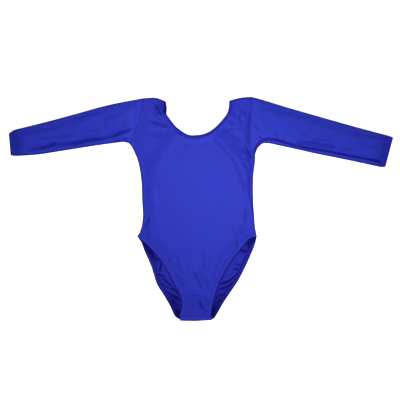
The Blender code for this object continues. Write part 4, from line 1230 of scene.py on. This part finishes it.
def knit_material(name):
    """Stretch knit: fine ribs as colour and bump, cloudy colour, and gloss that varies a little."""
    knit = KNITS[name]
    material = bpy.data.materials.new(name)
    material.use_nodes = True
    nodes = material.node_tree.nodes
    where = nodes.new("ShaderNodeTexCoord").outputs["Object"]

    def new_node(kind, **inputs):
        return feed(nodes.new("ShaderNode" + kind), **inputs)

    def calculated(operation, *values):
        made = nodes.new("ShaderNodeMath")
        made.operation = operation
        for socket, value in zip(made.inputs, values):
            supply(socket, value)
        return made.outputs[0]

    bands = math.pi / 10 / (knit.rib * MM)
    wales = new_node("TexWave", Vector=where, Scale=bands, Distortion=0.6).outputs["Fac"]
    courses = new_node("TexWave", Vector=where, Scale=bands / COURSE_SHARE, Distortion=0.8)
    courses.bands_direction = "Y"
    clouds = new_node("TexNoise", Vector=where, Scale=55.0, Detail=4.0, Roughness=0.55).outputs["Fac"]
    fuzz = new_node("TexNoise", Vector=where, Scale=1400.0, Detail=3.0, Roughness=0.6).outputs["Fac"]
    tone = calculated("MULTIPLY_ADD", wales, RIB_TONE, clouds)
    cloth = new_node("MixRGB", Fac=tone, Color1=(*knit.dark, 1.0), Color2=(*knit.light, 1.0))
    # Painted shade: the mesh's shade attribute mixes the cloth's colour towards what full shade leaves
    # of it
    leaves = INNER_SHADE_LEAVES if knit.inner else SHADE_LEAVES
    darkest = [part * left for part, left in zip(knit.dark, leaves)]
    shade_node = nodes.new("ShaderNodeAttribute")
    shade_node.attribute_name = INNER_SHADE if knit.inner else SHADE
    depth = shade_node.outputs["Fac"]
    shaded = new_node("MixRGB", Fac=depth, Color1=cloth.outputs[0], Color2=(*darkest, 1.0))
    low, high = knit.roughness - GLOSS_SPREAD, knit.roughness + GLOSS_SPREAD
    gloss = new_node("MapRange", Value=clouds, To_Min=low, To_Max=high)
    relief = calculated("ADD", calculated("ADD", wales, courses.outputs["Fac"]), fuzz)
    bump = new_node("Bump", Strength=0.35, Distance=0.00004, Height=relief)
    feed(
        nodes["Principled BSDF"],
        Base_Color=shaded.outputs[0],
        Roughness=gloss.outputs["Result"],
        Normal=bump.outputs["Normal"],
        Sheen_Weight=knit.sheen,
        Sheen_Roughness=0.45,
        Sheen_Tint=(0.35, 0.45, 1.0, 1.0),
        Specular_IOR_Level=knit.specular,
        Specular_Tint=(0.10, 0.20, 1.0, 1.0),
    )
    return material


def floor_material():
    """Plain white ground that glows a little, so that it stays white right out to its edges."""
    material = bpy.data.materials.new("white_ground")
    material.use_nodes = True
    feed(
        material.node_tree.nodes["Principled BSDF"],
        Base_Color=(0.9, 0.9, 0.9, 1.0),
        Roughness=0.9,
        Emission_Color=(1.0, 1.0, 1.0, 1.0),
        Emission_Strength=0.9,
    )
    return material


def make_stage():
    """White ground, a soft lamp over the chest, a broad light from the front that makes the relief
    show, weak light from all round, and the camera straight above."""
    bpy.ops.mesh.primitive_plane_add(size=60.0, location=(0.0, 0.0, -0.0004))
    ground = bpy.context.object
    ground.name = "ground"
    ground.data.materials.append(floor_material())
    ground.visible_diffuse = False
    ground.visible_glossy = False
    scene = bpy.context.scene
    scene.view_settings.view_transform = "Standard"
    scene.view_settings.look = "None"
    world = bpy.data.worlds.new("studio")
    scene.world = world
    world.use_nodes = True
    feed(world.node_tree.nodes["Background"], Color=(0.9, 0.93, 1.0, 1.0), Strength=0.12)
    for name, kind, place, power, colour in (
        ("lamp_over", "AREA", (0.05, 0.09, 0.70), 3.45, (1.0, 0.77, 0.96)),
        ("lamp_front", "SUN", (0.2, -6.0, 4.9), 2.30, (0.76, 1.0, 1.0)),
    ):
        lamp = bpy.data.lights.new(name, kind)
        lamp.energy = power
        lamp.color = colour
        holder = bpy.data.objects.new(name, lamp)
        holder.location = place
        aim = Vector((place[0] / 2, 0.07, 0.0)) - Vector(place)
        holder.rotation_euler = aim.to_track_quat("-Z", "Y").to_euler()
        holder.visible_camera = False
        scene.collection.objects.link(holder)
    bpy.data.lights["lamp_over"].shape = "RECTANGLE"
    bpy.data.lights["lamp_over"].size = 0.56
    bpy.data.lights["lamp_over"].size_y = 0.3
    bpy.data.lights["lamp_front"].angle = math.radians(14.0)
    bpy.data.objects["lamp_front"].visible_glossy = False
    camera = bpy.data.cameras.new("photo_camera")
    camera.lens = 80.0
    camera.sensor_width = 36.0
    holder = bpy.data.objects.new("photo_camera", camera)
    holder.location = (-0.0024, 0.0216, 2.133)
    scene.collection.objects.link(holder)
    scene.camera = holder


def finish_piece(piece, node=None):
    """Makes a piece move with the garment and puts it in its solid's place."""
    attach(piece, "root")
    if node:
        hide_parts(node)
    return piece


def main():
    knit, sleeve, wrong, inside, hem, edge, thread = [knit_material(name) for name in KNITS]
    front = finish_piece(front_piece([knit, wrong]), "front")
    back = finish_piece(back_piece([knit, wrong]), "back")
    sleeves, cuffs, cuff_rows = {}, {}, {}
    for side, sections, hole, folds, cuff_sections, outward in (
        ("left", SLEEVE_LEFT, ARMHOLE_LEFT, SLEEVE_LEFT_FOLDS, CUFF_LEFT, -1.0),
        ("right", SLEEVE_RIGHT, ARMHOLE_RIGHT, SLEEVE_RIGHT_FOLDS, CUFF_RIGHT, 1.0),
    ):
        made, rows = sleeve_piece(side, sections, hole, folds, outward, [sleeve, wrong])
        sleeves[side] = finish_piece(made, "sleeve_" + side)
        cuff_rows[side] = finish_piece(stitches("stitches_cuff_" + side, rows, thread))
        made = cuff_piece(side, cuff_sections, outward, [hem, wrong])
        cuffs[side] = finish_piece(made, "cuff_" + side)

    sewn = stitches("stitches_gusset", seam_rows(), thread)
    trims = {"front": [finish_piece(sewn)], "back": []}
    for layer in ("front", "back"):
        made, rows = neck_band(layer, [edge, inside])
        trims[layer].append(finish_piece(made, "neck_band_" + layer))
        sewn = stitches("stitches_neck_" + layer, rows, thread)
        trims[layer].append(finish_piece(sewn))
        for side in ("left", "right"):
            made, rows = leg_band(side, layer, [edge, inside])
            trims[layer].append(finish_piece(made, "leg_band_%s_%s" % (side, layer)))
            sewn = stitches("stitches_leg_%s_%s" % (side, layer), rows, thread)
            trims[layer].append(finish_piece(sewn))

    for cloth, flat, area, below, sewn_on in (
        (front, (0.306, 0.526), 0.100, "back", trims["front"]),
        (back, (0.306, 0.538), 0.112, "ground", trims["back"]),
        (sleeves["left"], (0.22, 0.315), 0.049, "ground", [cuff_rows["left"]]),
        (sleeves["right"], (0.28, 0.33), 0.059, "ground", [cuff_rows["right"]]),
    ):
        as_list(sewn_on)

    make_stage()


main()
